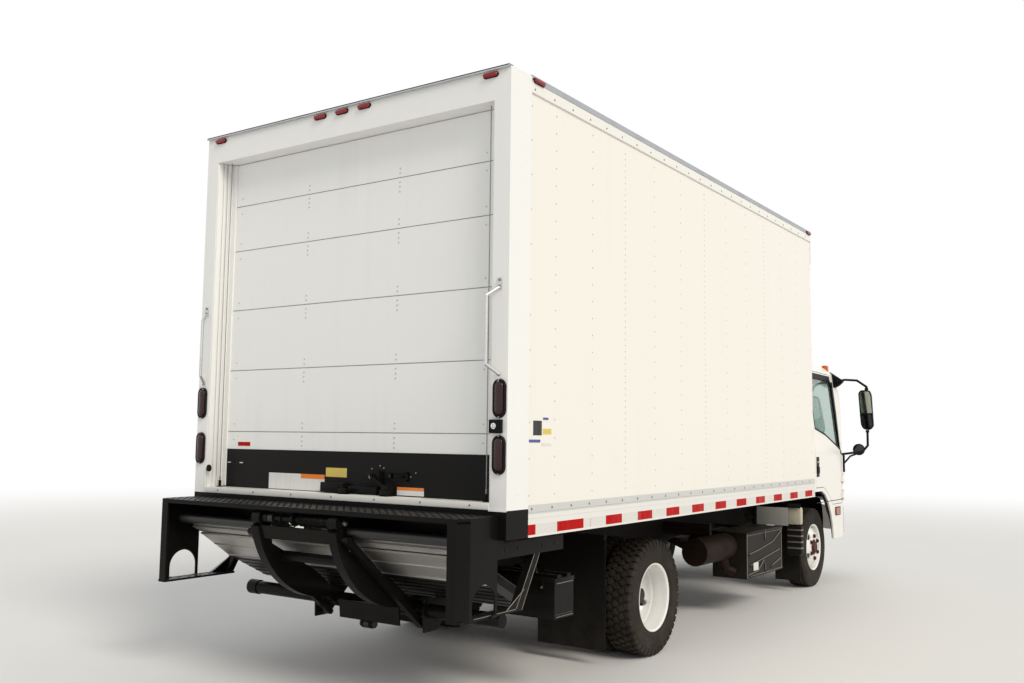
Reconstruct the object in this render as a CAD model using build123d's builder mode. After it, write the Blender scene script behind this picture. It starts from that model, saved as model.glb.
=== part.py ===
from build123d import *
from math import atan2, cos, degrees, hypot, radians, sin
import os

# A sixteen foot box truck: cab over engine, dry freight body with a roll-up rear door, and a
# liftgate whose folded platform is tucked under the body. Millimetres. X points forward, Y to the
# left, Z up. The origin is on the ground under the middle of the truck's length and width.

# Driving dimensions, along the truck
deck_depth = 300
rear_overhang = 2019
body_length = 4980
cab_gap = 252
cab_setback = 597
front_overhang = 1211
wheelbase = body_length - rear_overhang + cab_gap + cab_setback
overall_length = deck_depth + rear_overhang + wheelbase + front_overhang

rear_x = -overall_length / 2 + deck_depth
front_x = rear_x + body_length
rear_axle_x = rear_x + rear_overhang
front_axle_x = rear_axle_x + wheelbase
bumper_x = front_axle_x + front_overhang
cab_back_x = front_axle_x - cab_setback

# Wheels
tyre_radius = 386
tyre_width = 215
tyre_shoulder = 20
tyre_crown_inset = 14
bead_radius = 219
rim_bore = 203
rim_width = 190
front_track = 1665
dual_spacing = 254
rear_outer_track = 1895
hub_radius = 88
hand_holes = 5
hand_hole = 20
hand_hole_ring = 177
drum_radius = 150
drum_depth = 110
kingpin_offset = 110
wheel_z = tyre_radius
fit_gap = 0.3

# Frame
frame_width = 850
rail_height = 206
rail_flange = 65
rail_wall = 8
rail_top = 836
rail_bottom = rail_top - rail_height

# Body
body_width = 2438
body_top = 3398
wall = 40
floor_top = 1107
floor_thickness = 35
bearer_height = 76
side_rail_bottom = 934
side_rail_top = 1099
side_rail_lip = 67
top_rail_depth = 100
frame_post_depth = 200
opening_half = 1116
header_depth = 174
opening_top = body_top - header_depth
door_head_gap = 3
half_body = body_width / 2
floor_bottom = floor_top - floor_thickness
bearer_bottom = floor_bottom - bearer_height

# Rear door: the heights of the joints between its panels
door_recess = 110
door_thickness = 25
door_gap = 0.5
panel_rises = (360, 391, 391, 391, 298)
least_panel = 120
door_joints = [floor_top]
for rise in panel_rises:
    if door_joints[-1] + rise < opening_top - least_panel:
        door_joints.append(door_joints[-1] + rise)
door_joints.append(opening_top - door_head_gap)
kick_top = 1357
kick_thickness = 4

# Liftgate: pivots are (from the body's rear face, height)
lift_pivot = (380, 455)
shaft_pivot = (-250, 985)
link_drop = 85
arm_gauge = 60
arm_back = ((-46, -50), (62, -282), (508, -500))
arm_front = ((47, -20), (62, -150), (398, -330), (560, -452))
arm_boss = 46
cross_tube = (150, -225)
arm_inner_y = 270
torque_tube_radius = 40
torque_tube_left = 1080
torque_tube_right = -940
torque_tube_cap = 46
shaft_radius = 20
running_gap = 0.05
pack_tilt = 27
pack_start = 125
plank_length = 700
plank_thickness = 42
plank_half = 1015
ramp_start = 200
ramp_length = 270
pack_gap = 5
deck_top = 1055
deck_plate = 15
deck_inset = 50
deck_half = half_body - deck_inset
deck_edge = 25
gate_plate_bottom = 555
lever_length = 120
lever_angle = -110
lever_float = 22
cylinder_base = (950, 450)

# Cab
cab_half = 1032
cab_wall = 45
cab_front_x = front_axle_x + 1151
cab_floor = 1000
cab_roof = 2265
belt_z = 1340
cab_corner = 546
arch_top = 945

os.makedirs("parts", exist_ok=True)


def block(x0, x1, y0, y1, z0, z1, mode=Mode.ADD):
    """A block between two corners, in the part being built."""
    with Locations(((x0 + x1) / 2, (y0 + y1) / 2, (z0 + z1) / 2)):
        Box(abs(x1 - x0), abs(y1 - y0), abs(z1 - z0), mode=mode)


def side_shape(points, y0, y1, mode=Mode.ADD):
    """A closed outline of (x, z) points, extruded from y0 to y1."""
    with BuildSketch(Plane.XZ.offset(-y1)) as outline:
        with BuildLine():
            Polyline(*points, close=True)
        make_face()
    extrude(outline.sketch, amount=y1 - y0, mode=mode)


def end_shape(points, x0, x1, mode=Mode.ADD):
    """A closed outline of (y, z) points, extruded from x0 to x1."""
    with BuildSketch(Plane.YZ.offset(x0)) as outline:
        with BuildLine():
            Polyline(*points, close=True)
        make_face()
    extrude(outline.sketch, amount=x1 - x0, mode=mode)


def cross_bar(x, z, radius, y0, y1, mode=Mode.ADD):
    """A round bar along Y."""
    with BuildSketch(Plane.XZ.offset(-y1)) as disc:
        with Locations((x, z)):
            Circle(radius)
    extrude(disc.sketch, amount=y1 - y0, mode=mode)


def rod_between(start, end, radius, mode=Mode.ADD):
    """A round rod from one point to another."""
    way = Vector(*end) - Vector(*start)
    with BuildSketch(Plane(origin=start, z_dir=way)) as disc:
        Circle(radius)
    extrude(disc.sketch, amount=way.length, mode=mode)


def link(start, end, width, y0, y1, mode=Mode.ADD):
    """A straight plate with round ends between two (x, z) pivots."""
    along = (end[0] - start[0], end[1] - start[1])
    with BuildSketch(Plane.XZ.offset(-y1)) as plate:
        with Locations(((start[0] + end[0]) / 2, (start[1] + end[1]) / 2)):
            SlotCenterToCenter(hypot(*along), width, rotation=degrees(atan2(along[1], along[0])))
    extrude(plate.sketch, amount=y1 - y0, mode=mode)


def wheel_turn(profile, x, y, side, mode=Mode.ADD):
    """A revolved wheel piece from (outward, radius) points about the axle at x, y."""
    with BuildSketch(Plane.YZ.offset(x)) as section:
        with BuildLine():
            Polyline(*[(y + side * out, wheel_z + r) for out, r in profile], close=True)
        make_face()
    revolve(section.sketch, axis=Axis((x, 0, wheel_z), (0, 1, 0)), mode=mode)


def save(piece, name):
    piece.part.label = name
    export_step(piece.part, f"parts/{name}.step")


# Frame: two channel rails joined by cross members
rail_rear_x = rear_x + 620
rail_front_x = bumper_x - 200
frame_half = frame_width / 2
member_stations = (rear_x + 660, rear_x + 950, rear_axle_x + 330, front_x - 1810, front_x - 910, front_x - 110,
                   rail_front_x - 60)

engine_x = front_axle_x - 330
engine_half = 290
spring_width = 70
hanger_cheek = 12
spring_pin_radius = 12
spring_y = frame_half - 35
front_spring_half = 600
rear_spring_half = 650
front_eye_z = rail_bottom - 60
rear_eye_z = rail_bottom - 50
tilt_x = front_axle_x + 1101
tilt_z = 770
tilt_pin_radius = 15
tilt_ear_y = 330
tilt_ear_radius = 22

with BuildPart() as chassis_frame:
    for side in (-1, 1):
        web = side * frame_half
        inner = side * (frame_half - rail_wall)
        lip = side * (frame_half - rail_flange)
        end_shape(
            [
                (web, rail_bottom),
                (web, rail_top),
                (lip, rail_top),
                (lip, rail_top - rail_wall),
                (inner, rail_top - rail_wall),
                (inner, rail_bottom + rail_wall),
                (lip, rail_bottom + rail_wall),
                (lip, rail_bottom),
            ],
            rail_rear_x,
            rail_front_x,
        )
    for x in member_stations:
        block(x - 30, x + 30, -frame_half + rail_wall, frame_half - rail_wall,
              rail_bottom + 30, rail_top - 30)
    # engine mounts reach in from the rails
    for side in (-1, 1):
        block(engine_x + 120, engine_x + 200, side * engine_half, side * (frame_half - rail_wall), 690, 740)
    # spring hangers: two cheeks and a pin at every eye
    for axle_x, half, eye_z in ((front_axle_x, front_spring_half, front_eye_z),
                                (rear_axle_x, rear_spring_half, rear_eye_z)):
        for end_x in (axle_x - half, axle_x + half):
            for side in (-1, 1):
                y = side * spring_y
                for cheek in (-1, 1):
                    near, far = y + cheek * spring_width / 2, y + cheek * (spring_width / 2 + hanger_cheek)
                    side_shape(
                        [(end_x - 55, rail_bottom + 2), (end_x + 55, rail_bottom + 2),
                         (end_x + 24, eye_z - 24), (end_x - 24, eye_z - 24)],
                        min(near, far), max(near, far),
                    )
                cross_bar(end_x, eye_z, spring_pin_radius, y - spring_width / 2 - 2, y + spring_width / 2 + 2)
    # the cab sits on a rear arch and tilts on a front pin between two ears
    block(cab_back_x + 40, cab_back_x + 100, -frame_half, frame_half, cab_floor - 100, cab_floor - 40)
    for side in (-1, 1):
        block(cab_back_x + 40, cab_back_x + 100, side * (frame_half - 60), side * frame_half,
              rail_top - 2, cab_floor - 60)
        link((rail_front_x - 40, rail_top - 36), (tilt_x, tilt_z), 2 * tilt_ear_radius,
             min(side * tilt_ear_y, side * (tilt_ear_y + 12)), max(side * tilt_ear_y, side * (tilt_ear_y + 12)))
    for side in (-1, 1):
        block(rail_front_x - 60, rail_front_x, side * tilt_ear_y, side * (frame_half - rail_wall),
              rail_top - 60, rail_top - rail_wall)
    cross_bar(tilt_x, tilt_z, tilt_pin_radius, -tilt_ear_y - 10, tilt_ear_y + 10)
save(chassis_frame, "chassis_frame")

# Engine and gearbox as one plain block
with BuildPart() as engine:
    block(engine_x, engine_x + 770, -engine_half, engine_half, 470, 940)
    block(engine_x - 570, engine_x, -190, 190, 480, 800)
save(engine, "engine")

# Front axle: a dropped I-beam between the kingpins, with its leaf springs
kingpin_y = front_track / 2 - kingpin_offset
beam_z = 300
front_beam_top = beam_z + 35

with BuildPart() as front_axle:
    end_shape(
        [
            (-kingpin_y + 5, wheel_z - 38),
            (-kingpin_y + 60, wheel_z - 45),
            (-470, beam_z - 35),
            (470, beam_z - 35),
            (kingpin_y - 60, wheel_z - 45),
            (kingpin_y - 5, wheel_z - 38),
            (kingpin_y - 5, wheel_z + 38),
            (kingpin_y - 60, wheel_z + 25),
            (470, front_beam_top),
            (-470, front_beam_top),
            (-kingpin_y + 60, wheel_z + 25),
            (-kingpin_y + 5, wheel_z + 38),
        ],
        front_axle_x - 40,
        front_axle_x + 40,
    )
    for side in (-1, 1):
        with Locations((front_axle_x, side * kingpin_y, wheel_z)):
            Cylinder(36, 80)
            Cylinder(15, 170)
save(front_axle, "front_axle")


def leaf_pack(axle_x, half, seat_z, eye_z, y, leaves, gauge):
    """A leaf spring, thickest over its axle, with an eye at each end."""
    y0, y1 = y - spring_width / 2, y + spring_width / 2
    outline = [(axle_x - half, eye_z - gauge)]
    for n in range(leaves):
        reach = half * (1 - (n + 0.6) / leaves)
        drop = (eye_z - seat_z) * (1 - (reach / half) ** 2)
        outline.append((axle_x - reach, eye_z - drop - gauge * (n + 1)))
    outline[-1] = (axle_x - 60, seat_z - gauge * leaves)
    mirrored = [(2 * axle_x - px, pz) for px, pz in reversed(outline)]
    rise = [(t, seat_z + (eye_z - seat_z) * t * t) for t in (1, 0.75, 0.5, 0.25)]
    top = [(axle_x + half * t, z) for t, z in rise] + [(axle_x, seat_z)]
    top += [(axle_x - half * t, z) for t, z in reversed(rise)]
    side_shape(outline + mirrored + top, y0, y1)
    for end_x in (axle_x - half, axle_x + half):
        cross_bar(end_x, eye_z, spring_pin_radius + 10, y0, y1)
        cross_bar(end_x, eye_z, spring_pin_radius + running_gap, y0, y1, mode=Mode.SUBTRACT)


front_leaves = 4
rear_leaves = 6
leaf_gauge = 15
spring_pad = 12
housing_radius = 60
with BuildPart() as leaf_springs:
    for side in (-1, 1):
        leaf_pack(front_axle_x, front_spring_half, front_beam_top + front_leaves * leaf_gauge,
                  front_eye_z, side * spring_y, front_leaves, leaf_gauge)
        leaf_pack(rear_axle_x, rear_spring_half,
                  wheel_z + housing_radius + spring_pad + rear_leaves * leaf_gauge,
                  rear_eye_z, side * spring_y, rear_leaves, leaf_gauge)
save(leaf_springs, "leaf_springs")

# Rear axle: tube housing, differential bowl and propeller shaft
with BuildPart() as rear_axle:
    housing_half = rear_outer_track / 2 - dual_spacing / 2 - drum_depth - 0.5
    cross_bar(rear_axle_x, wheel_z, housing_radius, -housing_half, housing_half)
    for side in (-1, 1):
        block(rear_axle_x - 60, rear_axle_x + 60, side * (spring_y - 40), side * (spring_y + 40),
              wheel_z, wheel_z + housing_radius + spring_pad)
    with BuildSketch(Plane.YZ.offset(rear_axle_x - 120)):
        with Locations((0, wheel_z)):
            Circle(120)
    with BuildSketch(Plane.YZ.offset(rear_axle_x)):
        with Locations((0, wheel_z)):
            Circle(190)
    with BuildSketch(Plane.YZ.offset(rear_axle_x + 220)):
        with Locations((0, wheel_z)):
            Circle(90)
    loft(ruled=True)
    rod_between((rear_axle_x + 215, 0, wheel_z), (engine_x - 600, 0, 590), 45)
    rod_between((engine_x - 625, 0, 590), (engine_x - 570, 0, 590), 62)
save(rear_axle, "rear_axle")

# Fuel tank on the left, exhaust and battery box on the right
tank_front_x = front_x - 1330
tank_length = 900
with BuildPart() as fuel_tank:
    block(tank_front_x - tank_length, tank_front_x, frame_half + 40, frame_half + 520, 370, 760)
    fillet(fuel_tank.edges().filter_by(Axis.X), 70)
    for x in (tank_front_x - tank_length + 200, tank_front_x - 200):
        block(x - 25, x + 25, frame_half, frame_half + 60, 700, 800)
save(fuel_tank, "fuel_tank")

# The silencer hangs ahead of the rear wheels and blows out through a short elbow
silencer_x = rear_axle_x + 1131
silencer_y = -835
silencer_z = 565
silencer_radius = 108
silencer_length = 620
pipe_radius = 45
with BuildPart() as exhaust:
    silencer_front_x = silencer_x + silencer_length
    rod_between((silencer_x, silencer_y, silencer_z), (silencer_front_x, silencer_y, silencer_z),
                silencer_radius)
    rod_between((silencer_front_x - 50, silencer_y + 45, silencer_z + 30),
                (silencer_front_x + 20, silencer_y + 295, silencer_z + 30), pipe_radius)
    rod_between((silencer_front_x + 20, silencer_y + 295, silencer_z + 30),
                (silencer_front_x + 500, -frame_half - 60, silencer_z + 30), pipe_radius)
    rod_between((silencer_front_x - 80, silencer_y, silencer_z - 80),
                (silencer_front_x - 30, silencer_y - 15, silencer_z - 185), pipe_radius)
    rod_between((silencer_front_x - 40, silencer_y - 5, silencer_z - 172),
                (silencer_front_x + 10, silencer_y - 75, silencer_z - 212), pipe_radius - 7)
    block(silencer_x + 300, silencer_x + 340, silencer_y, -frame_half, silencer_z + 100, silencer_z + 200)
save(exhaust, "exhaust")

# The battery box has a cover with pressed ribs
battery_front_x = front_axle_x - 1139
battery_length = 865
battery_out = 1000
battery_depth = 300
battery_low = 297
battery_high = 672
rib_proud = 5
rib_lines = (
    ((60, 190), (260, 205), (620, 250), (830, 330)),
    ((90, 95), (790, 170)),
    ((30, 20), (250, 35), (400, 110)),
    ((580, 45), (820, 90)),
    ((430, 290), (430, 370)),
    ((430, 25), (430, 80)),
)
with BuildPart() as battery_box:
    block(battery_front_x - battery_length, battery_front_x, -battery_out, -battery_out + battery_depth,
          battery_low, battery_high)
    for x in (battery_front_x - battery_length + 120, battery_front_x - 120):
        block(x - 25, x + 25, -battery_out + 20, -frame_half, battery_high - 26, battery_high)
    for line in rib_lines:
        for (x0, z0), (x1, z1) in zip(line[:-1], line[1:]):
            left = battery_front_x - battery_length
            link((left + x0, battery_low + z0), (left + x1, battery_low + z1), 16,
                 -battery_out - rib_proud, -battery_out + 1)
save(battery_box, "battery_box")

# Mud flaps hang from arms on the rails
flap_rear_x = rear_x + 1525
flap_front_x = front_axle_x - 470
with BuildPart() as mud_flaps:
    for side in (-1, 1):
        for x, y0, y1, z0 in ((flap_rear_x, 430, 940, 100), (flap_front_x, 700, 945, 106)):
            block(x - 4, x + 4, side * y0, side * y1, z0, 800)
            block(x - 20, x + 20, side * frame_half, side * y1, 800, 830)
save(mud_flaps, "mud_flaps")

# Bumper: a deep wrap-round channel
bumper_bottom = 478
bumper_top = 740
bumper_wall = 25
bumper_half = 1030
bumper_back_x = front_axle_x + 760
with BuildPart() as front_bumper:
    with BuildSketch(Plane.XY.offset(bumper_bottom)):
        with BuildLine():
            Polyline(
                (bumper_back_x, -bumper_half + 12),
                (bumper_x - 300, -bumper_half + 55),
                (bumper_x - 140, -bumper_half + 165),
                (bumper_x - 40, -bumper_half + 340),
                (bumper_x, -bumper_half + 560),
                (bumper_x, bumper_half - 560),
                (bumper_x - 40, bumper_half - 340),
                (bumper_x - 140, bumper_half - 165),
                (bumper_x - 300, bumper_half - 55),
                (bumper_back_x, bumper_half - 12),
                close=True,
            )
        make_face()
        offset(amount=-bumper_wall, mode=Mode.SUBTRACT)
        with Locations((bumper_back_x, 0)):
            Rectangle(4 * bumper_wall, 2 * (bumper_half - bumper_wall - 16), mode=Mode.SUBTRACT)
    extrude(amount=bumper_top - bumper_bottom)
    for side in (-1, 1):
        block(rail_front_x - 26, bumper_x - bumper_wall, side * (frame_half - 50),
              side * (frame_half - rail_wall), rail_bottom + 10, rail_top - 110)
save(front_bumper, "front_bumper")

wall_bottom = side_rail_top - side_rail_lip
wall_out = half_body - 7

# Load floor on its cross bearers and two long sills
bearer_count = 13
with BuildPart() as load_floor:
    floor_half = wall_out - wall - fit_gap
    block(rear_x + frame_post_depth, front_x - wall, -floor_half, floor_half, floor_bottom, floor_top)
    for n in range(bearer_count):
        x = rear_x + 300 + n * (body_length - 400) / (bearer_count - 1)
        block(x - 22, x + 22, -half_body + 70, half_body - 70, bearer_bottom, floor_bottom)
    for side in (-1, 1):
        block(rear_x + frame_post_depth, front_x - 60, side * (frame_half - 65), side * frame_half,
              rail_top, bearer_bottom)
save(load_floor, "load_floor")

# Body panels: two sides, the front wall and the roof
roof_thickness = 25
panel_top = body_top - roof_thickness
with BuildPart() as side_walls:
    for side in (-1, 1):
        block(rear_x + frame_post_depth, front_x, side * (wall_out - wall), side * wall_out,
              wall_bottom, panel_top)
save(side_walls, "side_walls")

with BuildPart() as front_wall:
    block(front_x - wall, front_x, -wall_out + wall, wall_out - wall, wall_bottom, panel_top)
save(front_wall, "front_wall")

with BuildPart() as body_roof:
    block(rear_x + frame_post_depth, front_x, -wall_out, wall_out, panel_top, body_top)
save(body_roof, "body_roof")

# Rear frame: posts, header and sill round the door opening
with BuildPart() as rear_frame:
    block(rear_x, rear_x + frame_post_depth, -half_body, half_body, floor_bottom + 9, body_top)
    block(rear_x - 1, rear_x + frame_post_depth + 1, -opening_half, opening_half,
          floor_top, opening_top, mode=Mode.SUBTRACT)
save(rear_frame, "rear_frame")

# Side rails: a lipped bottom rail and a capping top rail
with BuildPart() as bottom_rails:
    for side in (-1, 1):
        end_shape(
            [
                (side * (half_body - 60), side_rail_bottom),
                (side * half_body, side_rail_bottom),
                (side * half_body, side_rail_top),
                (side * wall_out, side_rail_top),
                (side * wall_out, wall_bottom),
                (side * (wall_out - wall), wall_bottom),
                (side * (wall_out - wall), side_rail_bottom + 6),
                (side * (half_body - 60), side_rail_bottom + 6),
            ],
            rear_x + frame_post_depth,
            front_x,
        )
save(bottom_rails, "bottom_rails")

with BuildPart() as top_rails:
    for side in (-1, 1):
        end_shape(
            [
                (side * wall_out, body_top - top_rail_depth + 9),
                (side * half_body, body_top - top_rail_depth + 9),
                (side * half_body, body_top + 9),
                (side * (half_body - 90), body_top + 9),
                (side * (half_body - 90), body_top),
                (side * wall_out, body_top),
            ],
            rear_x + frame_post_depth,
            front_x + 5,
        )
    block(front_x, front_x + 5, -half_body, half_body, body_top - 60, body_top + 9)
    for side in (-1, 1):
        block(front_x, front_x + 5, side * (half_body - 60), side * half_body,
              body_top - 300, body_top + 9)
save(top_rails, "top_rails")

# Roll-up door: horizontal panels with chamfered joints, and a kick plate
door_x = rear_x + door_recess
with BuildPart() as rollup_door:
    for low, high in zip(door_joints[:-1], door_joints[1:]):
        block(door_x, door_x + door_thickness, -opening_half + 8, opening_half - 8,
              low + door_gap, high)
    chamfer(rollup_door.faces().filter_by(Axis.X).group_by(Axis.X)[0].edges().filter_by(Axis.Y), 3)
    block(door_x - kick_thickness, door_x, -opening_half + 8, opening_half - 8,
          floor_top + 12, kick_top)
save(rollup_door, "rollup_door")

# Latch on the kick plate and the lift cables beside the door
cable_y = 1050
cable_x = rear_x + 60
with BuildPart() as door_hardware:
    for side in (-1, 1):
        rod_between((cable_x, side * cable_y, floor_top), (cable_x, side * cable_y, opening_top), 3)
        block(cable_x - 20, cable_x + 20, side * cable_y - 12, side * cable_y + 12,
              floor_top, floor_top + 50)
    latch_x = door_x - kick_thickness
    block(latch_x - 45, latch_x, -420, -160, 1150, 1290)
    block(latch_x - 30, latch_x, -160, 60, 1180, 1250)
    block(latch_x - 60, latch_x - 45, -300, -270, 1110, 1290)
save(door_hardware, "door_hardware")

# Lamps of the body: tail lamps, header markers, side markers
marker_heights = body_top - 33
tail_lamp_lows = (floor_top + 153, floor_top + 441)
tail_lamp_height = 200
with BuildPart() as body_lamps:
    for side in (-1, 1):
        for low in tail_lamp_lows:
            with BuildSketch(Plane.YZ.offset(rear_x - 22)):
                with Locations((side * (half_body - 47), low + tail_lamp_height / 2)):
                    SlotOverall(tail_lamp_height, 80, rotation=90)
            extrude(amount=22)
        block(rear_x + 210, rear_x + 320, side * half_body, side * (half_body + 18),
              body_top - 32, body_top - 2)
        block(front_x - 120, front_x - 10, side * half_body, side * (half_body + 18),
              body_top - 32, body_top - 2)
    for y in (129 - half_body, -180, 0, 180, half_body - 129):
        block(rear_x - 20, rear_x, y - 50, y + 50, marker_heights - 15, marker_heights + 15)
save(body_lamps, "body_lamps")

# Grab handles on the rear posts
handle_y = 1165
handle_bottom = 1770
handle_top = 2225
handle_stand = 65
with BuildPart() as grab_handles:
    for side in (-1, 1):
        with BuildLine():
            Polyline(
                (rear_x, side * handle_y, handle_bottom),
                (rear_x - handle_stand, side * (handle_y - 39), handle_bottom + 50),
                (rear_x - handle_stand, side * (handle_y - 39), handle_top - 50),
                (rear_x, side * handle_y, handle_top),
            )
        with BuildSketch(Plane(origin=(rear_x, side * handle_y, handle_bottom),
                               z_dir=(-handle_stand, -side * 39, 50))):
            Circle(9)
        sweep(transition=Transition.RIGHT)
    block(rear_x, rear_x + 60, -half_body, half_body, 1000, 3000, mode=Mode.SUBTRACT)
save(grab_handles, "grab_handles")

# Liftgate: bed extension deck with its turned down edges
deck_rear_x = rear_x - deck_depth
with BuildPart() as deck_extension:
    with BuildSketch(Plane.XY.offset(deck_top - deck_plate)):
        with BuildLine():
            Polyline(
                (deck_rear_x, -deck_half + 35),
                (deck_rear_x + 70, -deck_half),
                (rear_x - 0.3, -deck_half),
                (rear_x - 0.3, deck_half),
                (deck_rear_x + 70, deck_half),
                (deck_rear_x, deck_half - 35),
                close=True,
            )
        make_face()
    extrude(amount=deck_plate)
    block(deck_rear_x, deck_rear_x + 8, -deck_half + 36, deck_half - 36, deck_top - deck_edge, deck_top)
save(deck_extension, "deck_extension")

# Liftgate frame: side plates with steps, mounting sill, hangers and channels
pivot_x = rear_x + lift_pivot[0]
pivot_z = lift_pivot[1]
shaft_x = rear_x + shaft_pivot[0]
shaft_z = shaft_pivot[1]
base_x = rear_x + cylinder_base[0]
base_z = cylinder_base[1]
plate_gauge = 12
post_width = 90
post_inner = deck_half - post_width
step_reach = 230
hanger_y = frame_half
hanger_gauge = 12
link_pin_radius = 15
plate_top = deck_top - deck_plate
with BuildPart() as liftgate_frame:
    for side in (-1, 1):
        outer = side * deck_half
        inner = side * (deck_half - plate_gauge)
        with BuildSketch(Plane.XZ.offset(-max(outer, inner))):
            with BuildLine():
                Polyline(
                    (deck_rear_x + 70, gate_plate_bottom),
                    (rear_x, gate_plate_bottom),
                    (rear_x, plate_top),
                    (deck_rear_x + 70, plate_top),
                    close=True,
                )
            make_face()
            with Locations((rear_x - 112, gate_plate_bottom + 75)):
                Circle(98, mode=Mode.SUBTRACT)
            with Locations((rear_x - 112, gate_plate_bottom + 45)):
                Rectangle(196, 60, mode=Mode.SUBTRACT)
        extrude(amount=plate_gauge)
        with BuildSketch(Plane.XY.offset(gate_plate_bottom)):
            with BuildLine():
                Polyline(
                    (deck_rear_x, side * post_inner),
                    (deck_rear_x, side * (deck_half - 35)),
                    (deck_rear_x + 70, outer),
                    (deck_rear_x + 70, inner),
                    (deck_rear_x + plate_gauge, side * (deck_half - 44)),
                    (deck_rear_x + plate_gauge, side * post_inner),
                    close=True,
                )
            make_face()
        extrude(amount=deck_top - deck_edge - gate_plate_bottom)
        # step plate and the brace that carries its front end
        block(deck_rear_x + plate_gauge, rear_x + step_reach, side * post_inner, inner,
              gate_plate_bottom, gate_plate_bottom + 12)
        side_shape(
            [
                (rear_x + step_reach - 40, gate_plate_bottom),
                (rear_x + step_reach + 10, gate_plate_bottom),
                (rear_x + step_reach + 180, rail_top + 1),
                (rear_x + step_reach + 130, rail_top + 1),
            ],
            min(inner, side * (deck_half - 60)),
            max(inner, side * (deck_half - 60)),
        )
        side_shape(
            [
                (rear_x + 95, gate_plate_bottom + 6),
                (rear_x + step_reach - 20, gate_plate_bottom + 6),
                (rear_x + step_reach + 35, gate_plate_bottom + 105),
            ],
            min(inner, side * (deck_half - 20)),
            max(inner, side * (deck_half - 20)),
        )
        block(rear_x, rear_x + 631, side * (deck_half - 60), outer, rail_top + 1, rail_top + 81)
        block(rear_x, rear_x + 200, side * frame_half, side * half_body, side_rail_bottom,
              floor_bottom + 9)
        block(rear_x - 12, rear_x + 60, side * post_inner, outer, rail_top + 1, side_rail_bottom)
        # hangers carry the torque tube and the parallel links
        side_shape(
            [
                (pivot_x - 55, pivot_z - 115),
                (pivot_x - 60, pivot_z + 30),
                (pivot_x - 30, pivot_z + 62),
                (pivot_x + 60, pivot_z + 62),
                (rail_rear_x, rail_bottom + 20),
                (rail_rear_x, rail_top - 10),
                (rail_rear_x + 160, rail_top - 10),
                (rail_rear_x + 160, rail_bottom + 20),
                (pivot_x + 60, pivot_z - 115),
            ],
            min(side * hanger_y, side * (hanger_y + hanger_gauge)),
            max(side * hanger_y, side * (hanger_y + hanger_gauge)),
        )
        cross_bar(pivot_x, pivot_z - link_drop, link_pin_radius,
                  min(side * 346, side * hanger_y), max(side * 346, side * hanger_y))
    block(rear_x, rear_x + 60, -frame_half, frame_half, side_rail_bottom, floor_bottom + 9)
    cross_bar(pivot_x, pivot_z, torque_tube_radius + running_gap, -500, 500, mode=Mode.SUBTRACT)
    # cylinder lugs hang from a cross member
    for side in (-1, 1):
        side_shape(
            [(base_x - 60, rail_bottom + 30), (base_x - 30, base_z - 35), (base_x + 30, base_z - 35),
             (base_x + 60, rail_bottom + 30)],
            min(side * 42, side * 54), max(side * 42, side * 54),
        )
    cross_bar(base_x, base_z, 16, -54, 54)
save(liftgate_frame, "liftgate_frame")

# Pump box hangs under the right side
pump_rear_x = rear_x + 655
pump_length = 205
pump_out = half_body - 119
pump_low = 440
pump_high = 660
with BuildPart() as pump_box:
    block(pump_rear_x, pump_rear_x + pump_length, -pump_out, -pump_out + 400, pump_low, pump_high)
    for x, end in ((pump_rear_x + 30, frame_half + hanger_gauge), (pump_rear_x + pump_length - 70, frame_half)):
        block(x, x + 40, -pump_out, -end, pump_high, pump_high + 20)
save(pump_box, "pump_box")

# Lift arms: two bowed arms, torque tube, cross plate and the cylinder's lever
lever_tip = (pivot_x + lever_length * cos(radians(lever_angle)),
             pivot_z + lever_length * sin(radians(lever_angle)))
slot_start = (pivot_x + (lever_length - lever_float) * cos(radians(lever_angle)),
              pivot_z + (lever_length - lever_float) * sin(radians(lever_angle)))
lever_width = 54
lever_y = 26
rod_pin_radius = 12


def arm_point(spot):
    """A point given from the shaft's centre."""
    return (shaft_x + spot[0], shaft_z + spot[1])


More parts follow.
